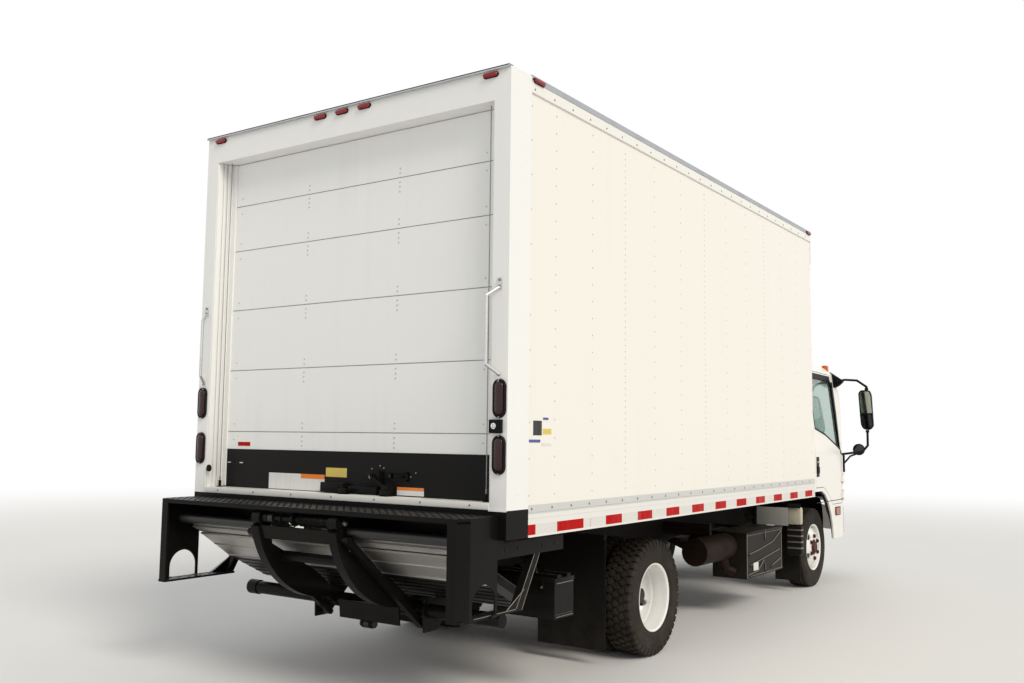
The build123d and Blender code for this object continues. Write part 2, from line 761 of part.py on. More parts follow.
with BuildPart() as lift_arms:
    for side in (-1, 1):
        y0 = min(side * arm_inner_y, side * (arm_inner_y + arm_gauge))
        with BuildSketch(Plane.XZ.offset(-(y0 + arm_gauge))) as arm:
            with BuildLine():
                back = ThreePointArc(*[arm_point(spot) for spot in arm_back])
                tip = Line(back @ 1, (pivot_x + 10, pivot_z - arm_boss))
                heel = Line(tip @ 1, (pivot_x + 20, pivot_z + arm_boss))
                front = Polyline(heel @ 1, *[arm_point(spot) for spot in reversed(arm_front)])
                Line(front @ 1, back @ 0)
            make_face()
            with Locations((shaft_x, shaft_z), (pivot_x, pivot_z)):
                Circle(arm_boss)
        extrude(arm.sketch, amount=arm_gauge)
    cross_bar(pivot_x, pivot_z, torque_tube_radius, torque_tube_right, torque_tube_left)
    cross_bar(pivot_x, pivot_z, torque_tube_cap, torque_tube_left - 80, torque_tube_left)
    cross_bar(shaft_x + cross_tube[0], shaft_z + cross_tube[1], 28, -arm_inner_y, arm_inner_y)
    side_shape([(shaft_x - 36, shaft_z - 42), (shaft_x - 12, shaft_z - 115),
                (shaft_x - 4, shaft_z - 112), (shaft_x - 28, shaft_z - 39)], -arm_inner_y, arm_inner_y)
    for side in (-1, 1):
        link((pivot_x, pivot_z), lever_tip, lever_width, min(side * lever_y, side * (lever_y + 12)),
             max(side * lever_y, side * (lever_y + 12)))
        # a guard plate hangs behind the lever from two webs on the tube
        side_shape([(pivot_x - 112, pivot_z - 10), (pivot_x - 112, pivot_z + 22), (pivot_x, pivot_z + 22),
                    (pivot_x, pivot_z - 10)], min(side * 150, side * 160), max(side * 150, side * 160))
    side_shape([(pivot_x - 118, pivot_z + 22), (pivot_x - 108, pivot_z + 22), (pivot_x - 98, pivot_z - 84),
                (pivot_x - 108, pivot_z - 84)], -297, 172)
    link(slot_start, lever_tip, 2 * (rod_pin_radius + 3.5), -60, 60, mode=Mode.SUBTRACT)
    cross_bar(shaft_x, shaft_z, shaft_radius + running_gap, -400, 400, mode=Mode.SUBTRACT)
save(lift_arms, "lift_arms")

# Parallel links keep the carrier level
with BuildPart() as parallel_links:
    for side in (-1, 1):
        y0 = min(side * 350, side * 390)
        link((shaft_x, shaft_z - link_drop), (pivot_x, pivot_z - link_drop), 36, y0, y0 + 40)
    for x, z in ((shaft_x, shaft_z - link_drop), (pivot_x, pivot_z - link_drop)):
        cross_bar(x, z, link_pin_radius + running_gap, -400, 400, mode=Mode.SUBTRACT)
save(parallel_links, "parallel_links")

# Carrier: the shaft, its end plates and the link pins
with BuildPart() as platform_carrier:
    cross_bar(shaft_x, shaft_z, shaft_radius, -345, 345)
    for side in (-1, 1):
        link((shaft_x, shaft_z), (shaft_x, shaft_z - link_drop), 40,
             min(side * 335, side * 345), max(side * 335, side * 345))
        cross_bar(shaft_x, shaft_z - link_drop, link_pin_radius,
                  min(side * 340, side * 395), max(side * 340, side * 395))
save(platform_carrier, "platform_carrier")


def pack_point(along, above):
    """A point of the folded platform, along its planks and above the shaft's line."""
    tilt = radians(pack_tilt)
    return (shaft_x + along * cos(tilt) + above * sin(tilt),
            shaft_z - along * sin(tilt) + above * cos(tilt))


# Platform and flipover, folded together
pack_end = pack_start + plank_length
main_top = -8
main_bottom = main_top - plank_thickness
flip_top = main_bottom - pack_gap
flip_bottom = flip_top - plank_thickness
lug_y = 180
edge_tube = (59, -24)
edge_tube_radius = 28
edge_tube_inner = 352
edge_tube_outer = 1050
with BuildPart() as platform:
    side_shape([pack_point(pack_start, main_top), pack_point(pack_end, main_top),
                pack_point(pack_end, main_bottom), pack_point(pack_start, main_bottom)],
               -plank_half, plank_half)
    for side in (-1, 1):
        y0 = min(side * lug_y, side * (lug_y + 40))
        link((shaft_x, shaft_z), pack_point(pack_start + 60, main_top - 20), 60, y0, y0 + 40)
        # a stiffening tube along the hinge edge, outside the arms
        y0, y1 = sorted((side * edge_tube_inner, side * edge_tube_outer))
        cross_bar(*pack_point(*edge_tube), edge_tube_radius, y0, y1)
        y0, y1 = sorted((side * edge_tube_inner, side * plank_half))
        side_shape([pack_point(edge_tube[0] + 5, main_top - 8), pack_point(pack_start + 5, main_top - 8),
                    pack_point(pack_start + 5, main_bottom + 16), pack_point(edge_tube[0] + 5, main_bottom + 16)],
                   y0, y1)
    cross_bar(shaft_x, shaft_z, shaft_radius + running_gap, -400, 400, mode=Mode.SUBTRACT)
save(platform, "platform")

with BuildPart() as flipover:
    side_shape([pack_point(ramp_start, flip_top), pack_point(pack_end, flip_top),
                pack_point(pack_end, flip_bottom), pack_point(ramp_start + ramp_length, flip_bottom),
                pack_point(ramp_start, flip_top - 6)],
               -plank_half, plank_half)
    for side in (-1, 1):
        y0 = min(side * 700, side * 760)
        side_shape([pack_point(pack_end - 60, flip_top), pack_point(pack_end - 60, main_bottom),
                    pack_point(pack_end, main_bottom), pack_point(pack_end, flip_top)], y0, y0 + 60)
save(flipover, "flipover")

# Lift cylinder
bore_way = Vector(lever_tip[0] - base_x, 0, lever_tip[1] - base_z)
bore_dir = bore_way.normalized()
barrel_length = 360
gland_length = 15
piston_radius = 26
piston_length = 20
rod_radius = 19
piston_rest = 290
with BuildPart() as lift_cylinder:
    near = Vector(base_x, 0, base_z) + bore_dir * 30
    far = Vector(base_x, 0, base_z) + bore_dir * barrel_length
    rod_between(tuple(near), tuple(far), 38)
    cross_bar(base_x, base_z, 32, -38, 38)
    bore_floor = Vector(base_x, 0, base_z) + bore_dir * 60
    gland = far - bore_dir * gland_length
    rod_between(tuple(bore_floor), tuple(gland), piston_radius + running_gap, mode=Mode.SUBTRACT)
    rod_between(tuple(gland), tuple(far + bore_dir), rod_radius + running_gap, mode=Mode.SUBTRACT)
    cross_bar(base_x, base_z, 16 + running_gap, -60, 60, mode=Mode.SUBTRACT)
save(lift_cylinder, "lift_cylinder")

with BuildPart() as cylinder_rod:
    start = Vector(base_x, 0, base_z) + bore_dir * piston_rest
    end = Vector(lever_tip[0], 0, lever_tip[1]) - bore_dir * 20
    rod_between(tuple(start), tuple(end), rod_radius)
    rod_between(tuple(start), tuple(start + bore_dir * piston_length), piston_radius)
    cross_bar(lever_tip[0], lever_tip[1], 27, -20, 20)
    cross_bar(lever_tip[0], lever_tip[1], rod_pin_radius, -54, 54)
    for side in (-1, 1):
        cross_bar(lever_tip[0], lever_tip[1], 22, min(side * 44, side * 52), max(side * 44, side * 52))
save(cylinder_rod, "cylinder_rod")


# Cab: the skin is what three outlines share, as the real shell is seen from side, front and top
def cab_form(inset):
    """The cab's closed form, set in from its outer face."""
    i = inset
    with BuildPart() as form:
        side_shape(
            [
                (cab_back_x + i, 400),
                (cab_back_x + i, cab_roof - 90 - i * 0.6),
                (cab_back_x + 90 + i * 0.6, cab_roof - i),
                (front_axle_x - 159, cab_roof - i),
                (front_axle_x + 480, cab_roof - 25 - i),
                (front_axle_x + 740, cab_roof - 75 - i),
                (front_axle_x + 800 - i * 0.9, cab_roof - 135 - i * 0.7),
                (cab_front_x - 50 - i * 1.1, belt_z),
                (cab_front_x - i, belt_z - 110),
                (cab_front_x - i, 400),
            ],
            -1100,
            1100,
        )
        lean = 95
        end_shape(
            [
                (-cab_half + i, 300),
                (-cab_half + i, belt_z),
                (-cab_half + lean + i, cab_roof - 110),
                (-cab_half + lean + 75 + i, cab_roof - 20 - i),
                (-cab_half + lean + 330 + i, cab_roof + 40 - i),
                (cab_half - lean - 330 - i, cab_roof + 40 - i),
                (cab_half - lean - 75 - i, cab_roof - 20 - i),
                (cab_half - lean - i, cab_roof - 110),
                (cab_half - i, belt_z),
                (cab_half - i, 300),
            ],
            cab_back_x - 50,
            cab_front_x + 50,
            mode=Mode.INTERSECT,
        )
        with BuildSketch(Plane.XY.offset(200)):
            with BuildLine():
                Polyline(
                    (cab_back_x + i, -cab_half + i),
                    (cab_front_x - i, -cab_half + i),
                    (cab_front_x + 30 - i, 0),
                    (cab_front_x - i, cab_half - i),
                    (cab_back_x + i, cab_half - i),
                    close=True,
                )
            make_face()
            fillet(vertices().group_by(Axis.X)[0], 60 - i * 0.6)
            fillet(vertices().filter_by(lambda v: abs(v.X - cab_front_x + i) < 1), cab_corner - i)
        extrude(amount=cab_roof, mode=Mode.INTERSECT)
    return form.part


cab_outer = cab_form(0)
cab_inner = cab_form(cab_wall)
glass_outer = cab_form(18)
glass_inner = cab_form(24)

door_back_x = front_axle_x - 204
door_front_x = front_axle_x + 680
door_low_x = front_axle_x + 330
door_bottom = 800
door_lines = (
    (door_back_x, arch_top + 40),
    (door_back_x, cab_roof - 140),
    (door_back_x + 30, cab_roof - 110),
    (door_front_x - 120, cab_roof - 125),
    (door_front_x - 30, cab_roof - 190),
    (door_front_x, cab_roof - 285),
    (door_front_x, door_bottom),
    (door_low_x, door_bottom),
    (door_low_x - 80, door_bottom + 80),
    (door_low_x - 200, door_bottom + 150),
    (door_low_x - 300, arch_top + 40),
)
window_back_x = door_back_x + 80
window_front_x = door_front_x - 29
window_lines = (
    (window_back_x, 1568),
    (window_back_x, cab_roof - 165),
    (window_front_x - 70, cab_roof - 180),
    (window_front_x - 5, cab_roof - 245),
    (window_front_x, belt_z - 20),
    (window_front_x - 68, belt_z + 39),
    (window_front_x - 478, belt_z + 172),
)
arch_lines = (
    (cab_back_x - 60, 200),
    (cab_back_x - 60, arch_top),
    (front_axle_x - 12, arch_top),
    (front_axle_x + 100, arch_top - 42),
    (front_axle_x + 200, arch_top - 129),
    (front_axle_x + 278, arch_top - 245),
    (front_axle_x + 325, arch_top - 359),
    (front_axle_x + 352, arch_top - 520),
    (front_axle_x + 352, 200),
)
door_clearance = 6


def outline_prism(points, y0, y1, grow=0):
    with BuildPart() as prism:
        with BuildSketch(Plane.XZ.offset(-y1)):
            with BuildLine():
                Polyline(*points, close=True)
            make_face()
            if grow:
                offset(amount=grow, kind=Kind.INTERSECTION)
        extrude(amount=y1 - y0)
    return prism.part


toe_board = cab_floor - 100
with BuildPart() as cab_cavity:
    add(cab_inner)
    toe_x = front_axle_x + 491
    side_shape([(cab_back_x - 60, 300), (cab_back_x - 60, cab_floor), (toe_x, cab_floor),
                (toe_x + 60, toe_board), (cab_front_x + 90, toe_board), (cab_front_x + 90, 300)],
               -1200, 1200, mode=Mode.SUBTRACT)

riser_front_x = front_axle_x + 121
riser_half = 900
riser_top = cab_floor + 200
tilt_lug_y = 300
door_hinge_x = door_front_x + 3
door_hinge_y = cab_half + 13
hinge_heights = (880, 1052)
hinge_radius = 9
hinge_pin_radius = 5
windscreen_back_x = front_axle_x + 591
windscreen_top = cab_roof - 205
windscreen_lines = ((-930, belt_z + 35), (-865, windscreen_top), (865, windscreen_top), (930, belt_z + 35))
rear_window = (-520, 520, 1560, 1980)

with BuildPart() as cab_shell:
    add(cab_outer)
    add(cab_cavity.part, mode=Mode.SUBTRACT)
    under = cab_half - cab_wall
    block(cab_back_x + cab_wall, riser_front_x, -riser_half, riser_half, cab_floor - 5, riser_top)
    block(cab_back_x - 50, toe_x, -under, under, 200, cab_floor - 40, mode=Mode.SUBTRACT)
    block(cab_back_x + 120, riser_front_x - 30, -riser_half + 30, riser_half - 30, 200, riser_top - 30,
          mode=Mode.SUBTRACT)
    block(toe_x - 10, cab_front_x - cab_wall, -under, under, 200, toe_board - 40, mode=Mode.SUBTRACT)
    block(front_axle_x + 736, cab_front_x + 60, -1100, 1100, 200, bumper_top + 50, mode=Mode.SUBTRACT)
    block(front_axle_x + 41, cab_front_x + 90, -1100, 1100, 200, bumper_bottom - 30, mode=Mode.SUBTRACT)
    side_shape(arch_lines, -1100, 1100, mode=Mode.SUBTRACT)
    for side in (-1, 1):
        cross_bar(front_axle_x, wheel_z, tyre_radius + 44, min(side * 900, side * (cab_half - 16)),
                  max(side * 900, side * (cab_half - 16)), mode=Mode.SUBTRACT)
    for side in (-1, 1):
        low, high = (880, 1100) if side > 0 else (-1100, -880)
        add(outline_prism(door_lines, low, high, door_clearance), mode=Mode.SUBTRACT)
    end_shape(windscreen_lines, windscreen_back_x, cab_front_x + 90, mode=Mode.SUBTRACT)
    block(cab_back_x - 50, cab_back_x + 100, rear_window[0], rear_window[1], rear_window[2],
          rear_window[3], mode=Mode.SUBTRACT)
    for side in (-1, 1):
        cross_bar(tilt_x, tilt_z, tilt_ear_radius + 6, min(side * (tilt_ear_y - 7), side * (tilt_ear_y + 19)),
                  max(side * (tilt_ear_y - 7), side * (tilt_ear_y + 19)), mode=Mode.SUBTRACT)
        side_shape([(tilt_x - 60, 862), (tilt_x - 24, tilt_z - 10), (tilt_x - 10, tilt_z - 26),
                    (tilt_x + 10, tilt_z - 26), (tilt_x + 22, tilt_z - 10), (tilt_x + 22, 862)],
                   min(side * tilt_lug_y, side * (tilt_lug_y + 14)),
                   max(side * tilt_lug_y, side * (tilt_lug_y + 14)))
    cross_bar(tilt_x, tilt_z, tilt_pin_radius + running_gap, -600, 600, mode=Mode.SUBTRACT)
    # hinge leaves and pins ahead of each door
    for side in (-1, 1):
        hinge_y = side * door_hinge_y
        for z in hinge_heights:
            for z0, z1 in ((z - 55, z - 35), (z + 35, z + 55)):
                block(door_hinge_x, door_hinge_x + 40, side * (cab_half - 24), side * (door_hinge_y + 6), z0, z1)
                with Locations((door_hinge_x, hinge_y, (z0 + z1) / 2)):
                    Cylinder(hinge_radius, z1 - z0)
            with Locations((door_hinge_x, hinge_y, z)):
                Cylinder(hinge_pin_radius, 110)
save(cab_shell, "cab_shell")

with BuildPart() as cab_glass:
    add(glass_outer)
    add(glass_inner, mode=Mode.SUBTRACT)
    with BuildPart(mode=Mode.PRIVATE) as panes:
        end_shape(windscreen_lines, windscreen_back_x, cab_front_x + 90)
        block(cab_back_x - 50, cab_back_x + 100, rear_window[0], rear_window[1], rear_window[2],
              rear_window[3])
    add(panes.part, mode=Mode.INTERSECT)
save(cab_glass, "cab_glass")


def cab_door(side):
    low, high = (880, 1100) if side > 0 else (-1100, -880)
    with BuildPart() as door:
        add(cab_outer)
        add(cab_inner, mode=Mode.SUBTRACT)
        add(outline_prism(door_lines, low, high), mode=Mode.INTERSECT)
        add(outline_prism(window_lines, low, high), mode=Mode.SUBTRACT)
        for z in hinge_heights:
            block(door_hinge_x - 50, door_front_x - 2, side * (cab_half - 12), side * (door_hinge_y + 6),
                  z - 30, z + 30)
            block(door_hinge_x - 10, door_hinge_x, side * (cab_half + 5), side * (door_hinge_y + 6),
                  z - 30, z + 30)
            with Locations((door_hinge_x, side * door_hinge_y, z)):
                Cylinder(hinge_radius, 60)
                Cylinder(hinge_pin_radius + running_gap, 80, mode=Mode.SUBTRACT)
    return door


def door_pane(side):
    low, high = (880, 1100) if side > 0 else (-1100, -880)
    with BuildPart() as pane:
        add(glass_outer)
        add(glass_inner, mode=Mode.SUBTRACT)
        add(outline_prism(window_lines, low, high), mode=Mode.INTERSECT)
    return pane


for side, word in ((1, "left"), (-1, "right")):
    save(cab_door(side), f"door_{word}")
    save(door_pane(side), f"door_glass_{word}")

# Grille and lamps on the cab's face
with BuildPart() as front_grille:
    for n in range(4):
        z = 870 + n * 60
        block(cab_front_x, cab_front_x + 40, -430, 430, z, z + 32)
    for y in (-430, 0, 430):
        block(cab_front_x, cab_front_x + 35, y - 10, y + 10, 870, 1082)
save(front_grille, "front_grille")

with BuildPart() as cab_lamps:
    for side in (-1, 1):
        block(cab_front_x - 140, cab_front_x + 4, side * 600, side * 780, 830, 1000)
        block(front_axle_x + 411, front_axle_x + 581, side * cab_half, side * (cab_half + 14), 680, 765)
        block(front_axle_x + 630, front_axle_x + 700, side * 845, side * 915, cab_roof - 100, cab_roof - 12)
    add(cab_outer, mode=Mode.SUBTRACT)
save(cab_lamps, "cab_lamps")

# Mirrors on a bent arm ahead of each door, with a vane at the pillar's top and a lower bracket
mirror_x = front_axle_x + 941
mirror_arm = ((990, 2080), (1060, 2100), (1160, 2096), (1238, 2030), (1238, 1400), (1195, 1335), (990, 1300))
mirror_head = ((1157, 1960), (1180, 1993), (1275, 1993), (1294, 1940), (1309, 1603), (1270, 1563), (1205, 1571),
               (1178, 1620))
vane = ((880, 2206), (1057, 2085), (1010, 2040), (960, 2012), (905, 2020), (860, 2120))
with BuildPart() as mirrors:
    for side in (-1, 1):
        with BuildLine() as arm_path:
            Polyline(*[(mirror_x - (1238 - y), side * y, z) for y, z in mirror_arm])
        with BuildSketch(Plane(origin=arm_path.line @ 0, z_dir=arm_path.line % 0)) as arm_section:
            RegularPolygon(12.5, 8)
        sweep(arm_section.sketch, path=arm_path.line, transition=Transition.RIGHT)
        end_shape([(side * y, z) for y, z in mirror_head], mirror_x - 32, mirror_x + 42)
        end_shape([(side * y, z) for y, z in vane], door_front_x + 21, door_front_x + 101)
        block(door_front_x + 14, door_front_x + 64, side * (cab_half - 40), side * (cab_half + 18), 1112, 1302)
        with Locations((mirror_x - 10, side * 1150, 1356)):
            Cylinder(62, 48)
    add(cab_outer, mode=Mode.SUBTRACT)
save(mirrors, "mirrors")

# Inside the cab
seat_back_x = cab_back_x + 98
with BuildPart() as seats:
    for y, half in ((500, 260), (-400, 430)):
        block(seat_back_x + 130, riser_front_x - 20, y - half, y + half, riser_top, riser_top + 140)
        side_shape([(seat_back_x, riser_top), (seat_back_x + 126, riser_top), (seat_back_x + 90, riser_top + 750),
                    (seat_back_x - 10, riser_top + 750)],
                   y - half, y + half)
    fillet(seats.edges().filter_by(Axis.Y), 25)
save(seats, "seats")

wheel_centre = (front_axle_x + 501, 500, 1420)
column_foot = (front_axle_x + 801, 500, 1180)
dash_x = front_axle_x + 756
with BuildPart() as dashboard:
    side_shape([(dash_x, 1150), (dash_x, 1290), (dash_x + 85, 1330), (dash_x + 225, 1330), (dash_x + 285, 1100),
                (dash_x + 85, 1050)],
               -cab_half + cab_wall + fit_gap, cab_half - cab_wall - fit_gap)
    add(cab_form(cab_wall + fit_gap), mode=Mode.INTERSECT)
    rod_between(column_foot, wheel_centre, 30)
    rim_plane = Plane(origin=wheel_centre,
                      z_dir=Vector(*wheel_centre) - Vector(*column_foot))
    with BuildSketch(rim_plane):
        Circle(225)
        Circle(197, mode=Mode.SUBTRACT)
        Rectangle(400, 40)
        Circle(50)
    extrude(amount=26)
save(dashboard, "dashboard")

# Wheels
crown = tyre_width / 2
tyre_section = [
    (-crown, bead_radius),
    (crown, bead_radius),
    (crown, tyre_radius - tyre_shoulder),
    (crown - tyre_crown_inset, tyre_radius),
    (-crown, tyre_radius),
]
plain_tyre_section = [(-crown, bead_radius), (crown, bead_radius), (crown, tyre_radius), (-crown, tyre_radius)]
rim_half = rim_width / 2
rim_out = bead_radius - fit_gap
front_rim_section = [
    (120, 0), (120, hub_radius), (60, hub_radius), (60, rim_bore), (rim_half, rim_bore), (rim_half, rim_out),
    (-rim_half, rim_out), (-rim_half, rim_bore), (30, rim_bore), (30, 0),
]
disc_out = -dual_spacing / 2
disc_edge = rim_bore - 12
rear_rim_section = [
    (-15, 0), (-15, hub_radius), (disc_out + 34, hub_radius), (disc_out + 34, rim_bore), (rim_half, rim_bore),
    (rim_half, rim_out), (-rim_half, rim_out), (-rim_half, disc_edge), (disc_out, disc_edge), (disc_out, 0),
]
inner_rim_section = [
    (disc_out, 0), (disc_out, disc_edge), (rim_half - dual_spacing, disc_edge),
    (rim_half - dual_spacing, rim_out), (-rim_half - dual_spacing, rim_out),
    (-rim_half - dual_spacing, rim_bore), (disc_out - 40, rim_bore), (disc_out - 40, drum_radius),
    (disc_out - drum_depth, drum_radius), (disc_out - drum_depth, 0),
]

for side, word in ((1, "left"), (-1, "right")):
    front_y = side * front_track / 2
    outer_y = side * rear_outer_track / 2
    with BuildPart() as tyre:
        wheel_turn(tyre_section, front_axle_x, front_y, side)
    save(tyre, f"tyre_front_{word}")
    with BuildPart() as rim:
        wheel_turn(front_rim_section, front_axle_x, front_y, side)
        with Locations(Plane(origin=(front_axle_x, front_y, wheel_z), z_dir=(0, 1, 0))):
            with PolarLocations(hand_hole_ring, hand_holes):
                Cylinder(hand_hole, 400, mode=Mode.SUBTRACT)
        wheel_turn([(-20, 0), (-20, 60), (30, 60), (30, 0)], front_axle_x, front_y, side,
                   mode=Mode.SUBTRACT)
    save(rim, f"rim_front_{word}")
    with BuildPart() as twin_tyres:
        wheel_turn(plain_tyre_section, rear_axle_x, outer_y, side)
        wheel_turn(plain_tyre_section, rear_axle_x, outer_y - side * dual_spacing, side)
    save(twin_tyres, f"tyres_rear_{word}")
    with BuildPart() as twin_rims:
        wheel_turn(rear_rim_section, rear_axle_x, outer_y, side)
        wheel_turn(inner_rim_section, rear_axle_x, outer_y, side)
        with Locations(Plane(origin=(rear_axle_x, outer_y, wheel_z), z_dir=(0, 1, 0))):
            with PolarLocations(hand_hole_ring, hand_holes):
                Cylinder(hand_hole, 400, mode=Mode.SUBTRACT)
    save(twin_rims, f"rims_rear_{word}")

# Knuckles turn on the kingpins and carry the front hubs
with BuildPart() as knuckle_left:
    for z0, z1 in ((46, 85), (-85, -46)):
        block(front_axle_x - 30, front_axle_x + 30, kingpin_y - 30, kingpin_y + 60, wheel_z + z0, wheel_z + z1)
    block(front_axle_x - 30, front_axle_x + 30, kingpin_y + 48, kingpin_y + 75, wheel_z - 85, wheel_z + 85)
    cross_bar(front_axle_x, wheel_z, 30, kingpin_y + 60, front_track / 2 + 29.5)
    with Locations((front_axle_x, kingpin_y, wheel_z)):
        Cylinder(15 + running_gap, 200, mode=Mode.SUBTRACT)
save(knuckle_left, "knuckle_left")

with BuildPart() as knuckle_right:
    add(mirror(knuckle_left.part, about=Plane.XZ))
save(knuckle_right, "knuckle_right")
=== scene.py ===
# %% [markdown]
# # A box truck with a tuck-under liftgate
# The truck's solids come from the CAD frame, already in the right place. This lesson dresses them: it
# gives every solid a paint, metal or rubber, and adds the small things that a solid model leaves out,
# such as rivets, tyre tread, lamp lenses and seat cushions.

import math

import bmesh
import bpy
from mathutils import Matrix, Vector


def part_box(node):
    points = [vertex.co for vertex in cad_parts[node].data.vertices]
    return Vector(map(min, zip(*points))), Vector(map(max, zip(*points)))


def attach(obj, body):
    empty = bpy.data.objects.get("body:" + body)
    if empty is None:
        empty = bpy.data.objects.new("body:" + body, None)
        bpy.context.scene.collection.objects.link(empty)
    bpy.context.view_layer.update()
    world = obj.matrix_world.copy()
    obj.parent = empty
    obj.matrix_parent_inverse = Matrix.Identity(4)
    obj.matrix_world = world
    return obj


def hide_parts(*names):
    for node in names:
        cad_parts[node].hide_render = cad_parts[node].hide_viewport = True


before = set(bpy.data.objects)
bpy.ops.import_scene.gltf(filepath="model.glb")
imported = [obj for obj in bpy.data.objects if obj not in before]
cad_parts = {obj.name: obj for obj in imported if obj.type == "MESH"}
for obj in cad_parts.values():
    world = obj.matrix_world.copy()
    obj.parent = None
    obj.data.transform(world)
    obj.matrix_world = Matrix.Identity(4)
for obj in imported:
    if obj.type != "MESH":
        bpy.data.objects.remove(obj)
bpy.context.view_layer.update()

# %% [markdown]
# ## The camera
# The photograph was taken from a person's eye height behind the right rear corner. A camera is a point, a
# direction and a lens. The three angles below turn the view left, up and over, and the lens length sets
# how much fits in. They were found by matching the truck's corners, wheels and door joints.

# %% Camera
eye = Vector((-7.443, -4.041, 1.455))
turn_left = 0.602
look_up = 0.097
lean = 0.011

ahead = Vector((math.cos(turn_left) * math.cos(look_up), math.sin(turn_left) * math.cos(look_up),
                math.sin(look_up)))
level = Vector((math.sin(turn_left), -math.cos(turn_left), 0))
upward = level.cross(ahead)
right_hand = math.cos(lean) * level + math.sin(lean) * upward
overhead = math.cos(lean) * upward - math.sin(lean) * level

lens_data = bpy.data.cameras.new("camera")
lens_data.sensor_width = 36
lens_data.lens = 34.3
camera = bpy.data.objects.new("camera", lens_data)
bpy.context.scene.collection.objects.link(camera)
camera.matrix_world = Matrix.Translation(eye) @ Matrix((right_hand, overhead, -ahead)).transposed().to_4x4()
bpy.context.scene.camera = camera
print("camera stands", round((eye - Vector((-3.37, -1.219, 1.1))).length, 2), "m from the rear corner")

# %% [markdown]
# ## Light
# A studio surrounds the object with even light, so that a colour renders close to how it is written. One
# broad sun adds a soft direction. The world shows white to the eye and to reflections, and is dimmer
# as a lamp: the Light Path node tells those rays apart.

# %% Studio light
world = bpy.data.worlds.new("studio")
bpy.context.scene.world = world
world.use_nodes = True
sky = world.node_tree
sky.nodes.clear()
sky_out = sky.nodes.new("ShaderNodeOutputWorld")
sky_mix = sky.nodes.new("ShaderNodeMixShader")
as_lamp = ((0.96, 0.98, 1.0, 1), 0.62)
as_seen = ((1, 1, 1, 1), 1.0)
for slot, (colour, strength) in ((1, as_lamp), (2, as_seen)):
    backdrop = sky.nodes.new("ShaderNodeBackground")
    backdrop.inputs["Color"].default_value = colour
    backdrop.inputs["Strength"].default_value = strength
    sky.links.new(backdrop.outputs[0], sky_mix.inputs[slot])
rays = sky.nodes.new("ShaderNodeLightPath")
seen = rays.outputs["Is Camera Ray"]
for other_ray in ("Is Glossy Ray", "Is Transmission Ray"):
    either = sky.nodes.new("ShaderNodeMath")
    either.operation = "MAXIMUM"
    sky.links.new(seen, either.inputs[0])
    sky.links.new(rays.outputs[other_ray], either.inputs[1])
    seen = either.outputs[0]
sky.links.new(seen, sky_mix.inputs["Fac"])
sky.links.new(sky_mix.outputs[0], sky_out.inputs["Surface"])

sun_data = bpy.data.lights.new("key", "SUN")
sun_data.energy = 1.82
sun_data.angle = math.radians(24)
sun_data.color = (1.0, 0.945, 0.84)
sun = bpy.data.objects.new("key", sun_data)
sun_way = Vector((0.27, 0.72, -0.6))
sun.rotation_euler = sun_way.to_track_quat("-Z", "Y").to_euler()
bpy.context.scene.collection.objects.link(sun)
print("key light falls at", round(math.degrees(math.asin(-sun_way.normalized().z))), "degrees")

# %% [markdown]
# ## Shared effects
# A finish is more than a colour. Dust gathers low down, rain leaves streaks, sheet metal is never quite
# flat, and moulded plastic has a grain. More than one material needs each of these, so each is a node
# group: a small machine with named inputs and outputs that is built once and set differently each time.
# All of them read the object's own coordinates, so a door keeps its dust when it swings.

# %% A helper that starts a node group
def start_group(name, inputs, outputs):
    """A new shader group with float or colour sockets: (name, start value) in, names out."""
    group = bpy.data.node_groups.new(name, "ShaderNodeTree")
    for label, value in inputs:
        kind = "NodeSocketColor" if isinstance(value, tuple) else "NodeSocketFloat"
        socket = group.interface.new_socket(name=label, in_out="INPUT", socket_type=kind)
        socket.default_value = value
    for label, kind in outputs:
        group.interface.new_socket(name=label, in_out="OUTPUT", socket_type=kind)
    enter = group.nodes.new("NodeGroupInput")
    leave = group.nodes.new("NodeGroupOutput")
    return group, enter, leave


print("groups start with named sockets")

# %% Helpers that add one node
def feed(tree, value, socket):
    """Links one socket to another, or sets a plain number or colour on it."""
    if isinstance(value, bpy.types.NodeSocket):
        tree.links.new(value, socket)
    else:
        socket.default_value = value


def mix_colours(tree, share, first, second):
    """A colour mix node fed by sockets or plain colours; returns its colour output."""
    mix = tree.nodes.new("ShaderNodeMix")
    mix.data_type = "RGBA"
    for socket, value in ((mix.inputs[0], share), (mix.inputs[6], first), (mix.inputs[7], second)):
        feed(tree, value, socket)
    return mix.outputs[2]


def sums(tree, operation, first, second=0.0):
    """A math node fed by sockets or numbers; returns its output."""
    made = tree.nodes.new("ShaderNodeMath")
    made.operation = operation
    feed(tree, first, made.inputs[0])
    feed(tree, second, made.inputs[1])
    return made.outputs[0]


def axis(tree, letter):
    """One coordinate of the object's own space, in metres."""
    place = tree.nodes.new("ShaderNodeTexCoord")
    apart = tree.nodes.new("ShaderNodeSeparateXYZ")
    tree.links.new(place.outputs["Object"], apart.inputs[0])
    return apart.outputs[letter]


def noise(tree, scale, detail=4.0, stretch=(1, 1, 1), rough=0.55):
    """Noise over the object's own coordinates, stretched along an axis by a value under one."""
    place = tree.nodes.new("ShaderNodeTexCoord")
    stretched = tree.nodes.new("ShaderNodeMapping")
    stretched.inputs["Scale"].default_value = stretch
    made = tree.nodes.new("ShaderNodeTexNoise")
    made.inputs["Detail"].default_value = detail
    made.inputs["Roughness"].default_value = rough
    tree.links.new(place.outputs["Object"], stretched.inputs["Vector"])
    tree.links.new(stretched.outputs["Vector"], made.inputs["Vector"])
    feed(tree, scale, made.inputs["Scale"])
    return made.outputs["Fac"]


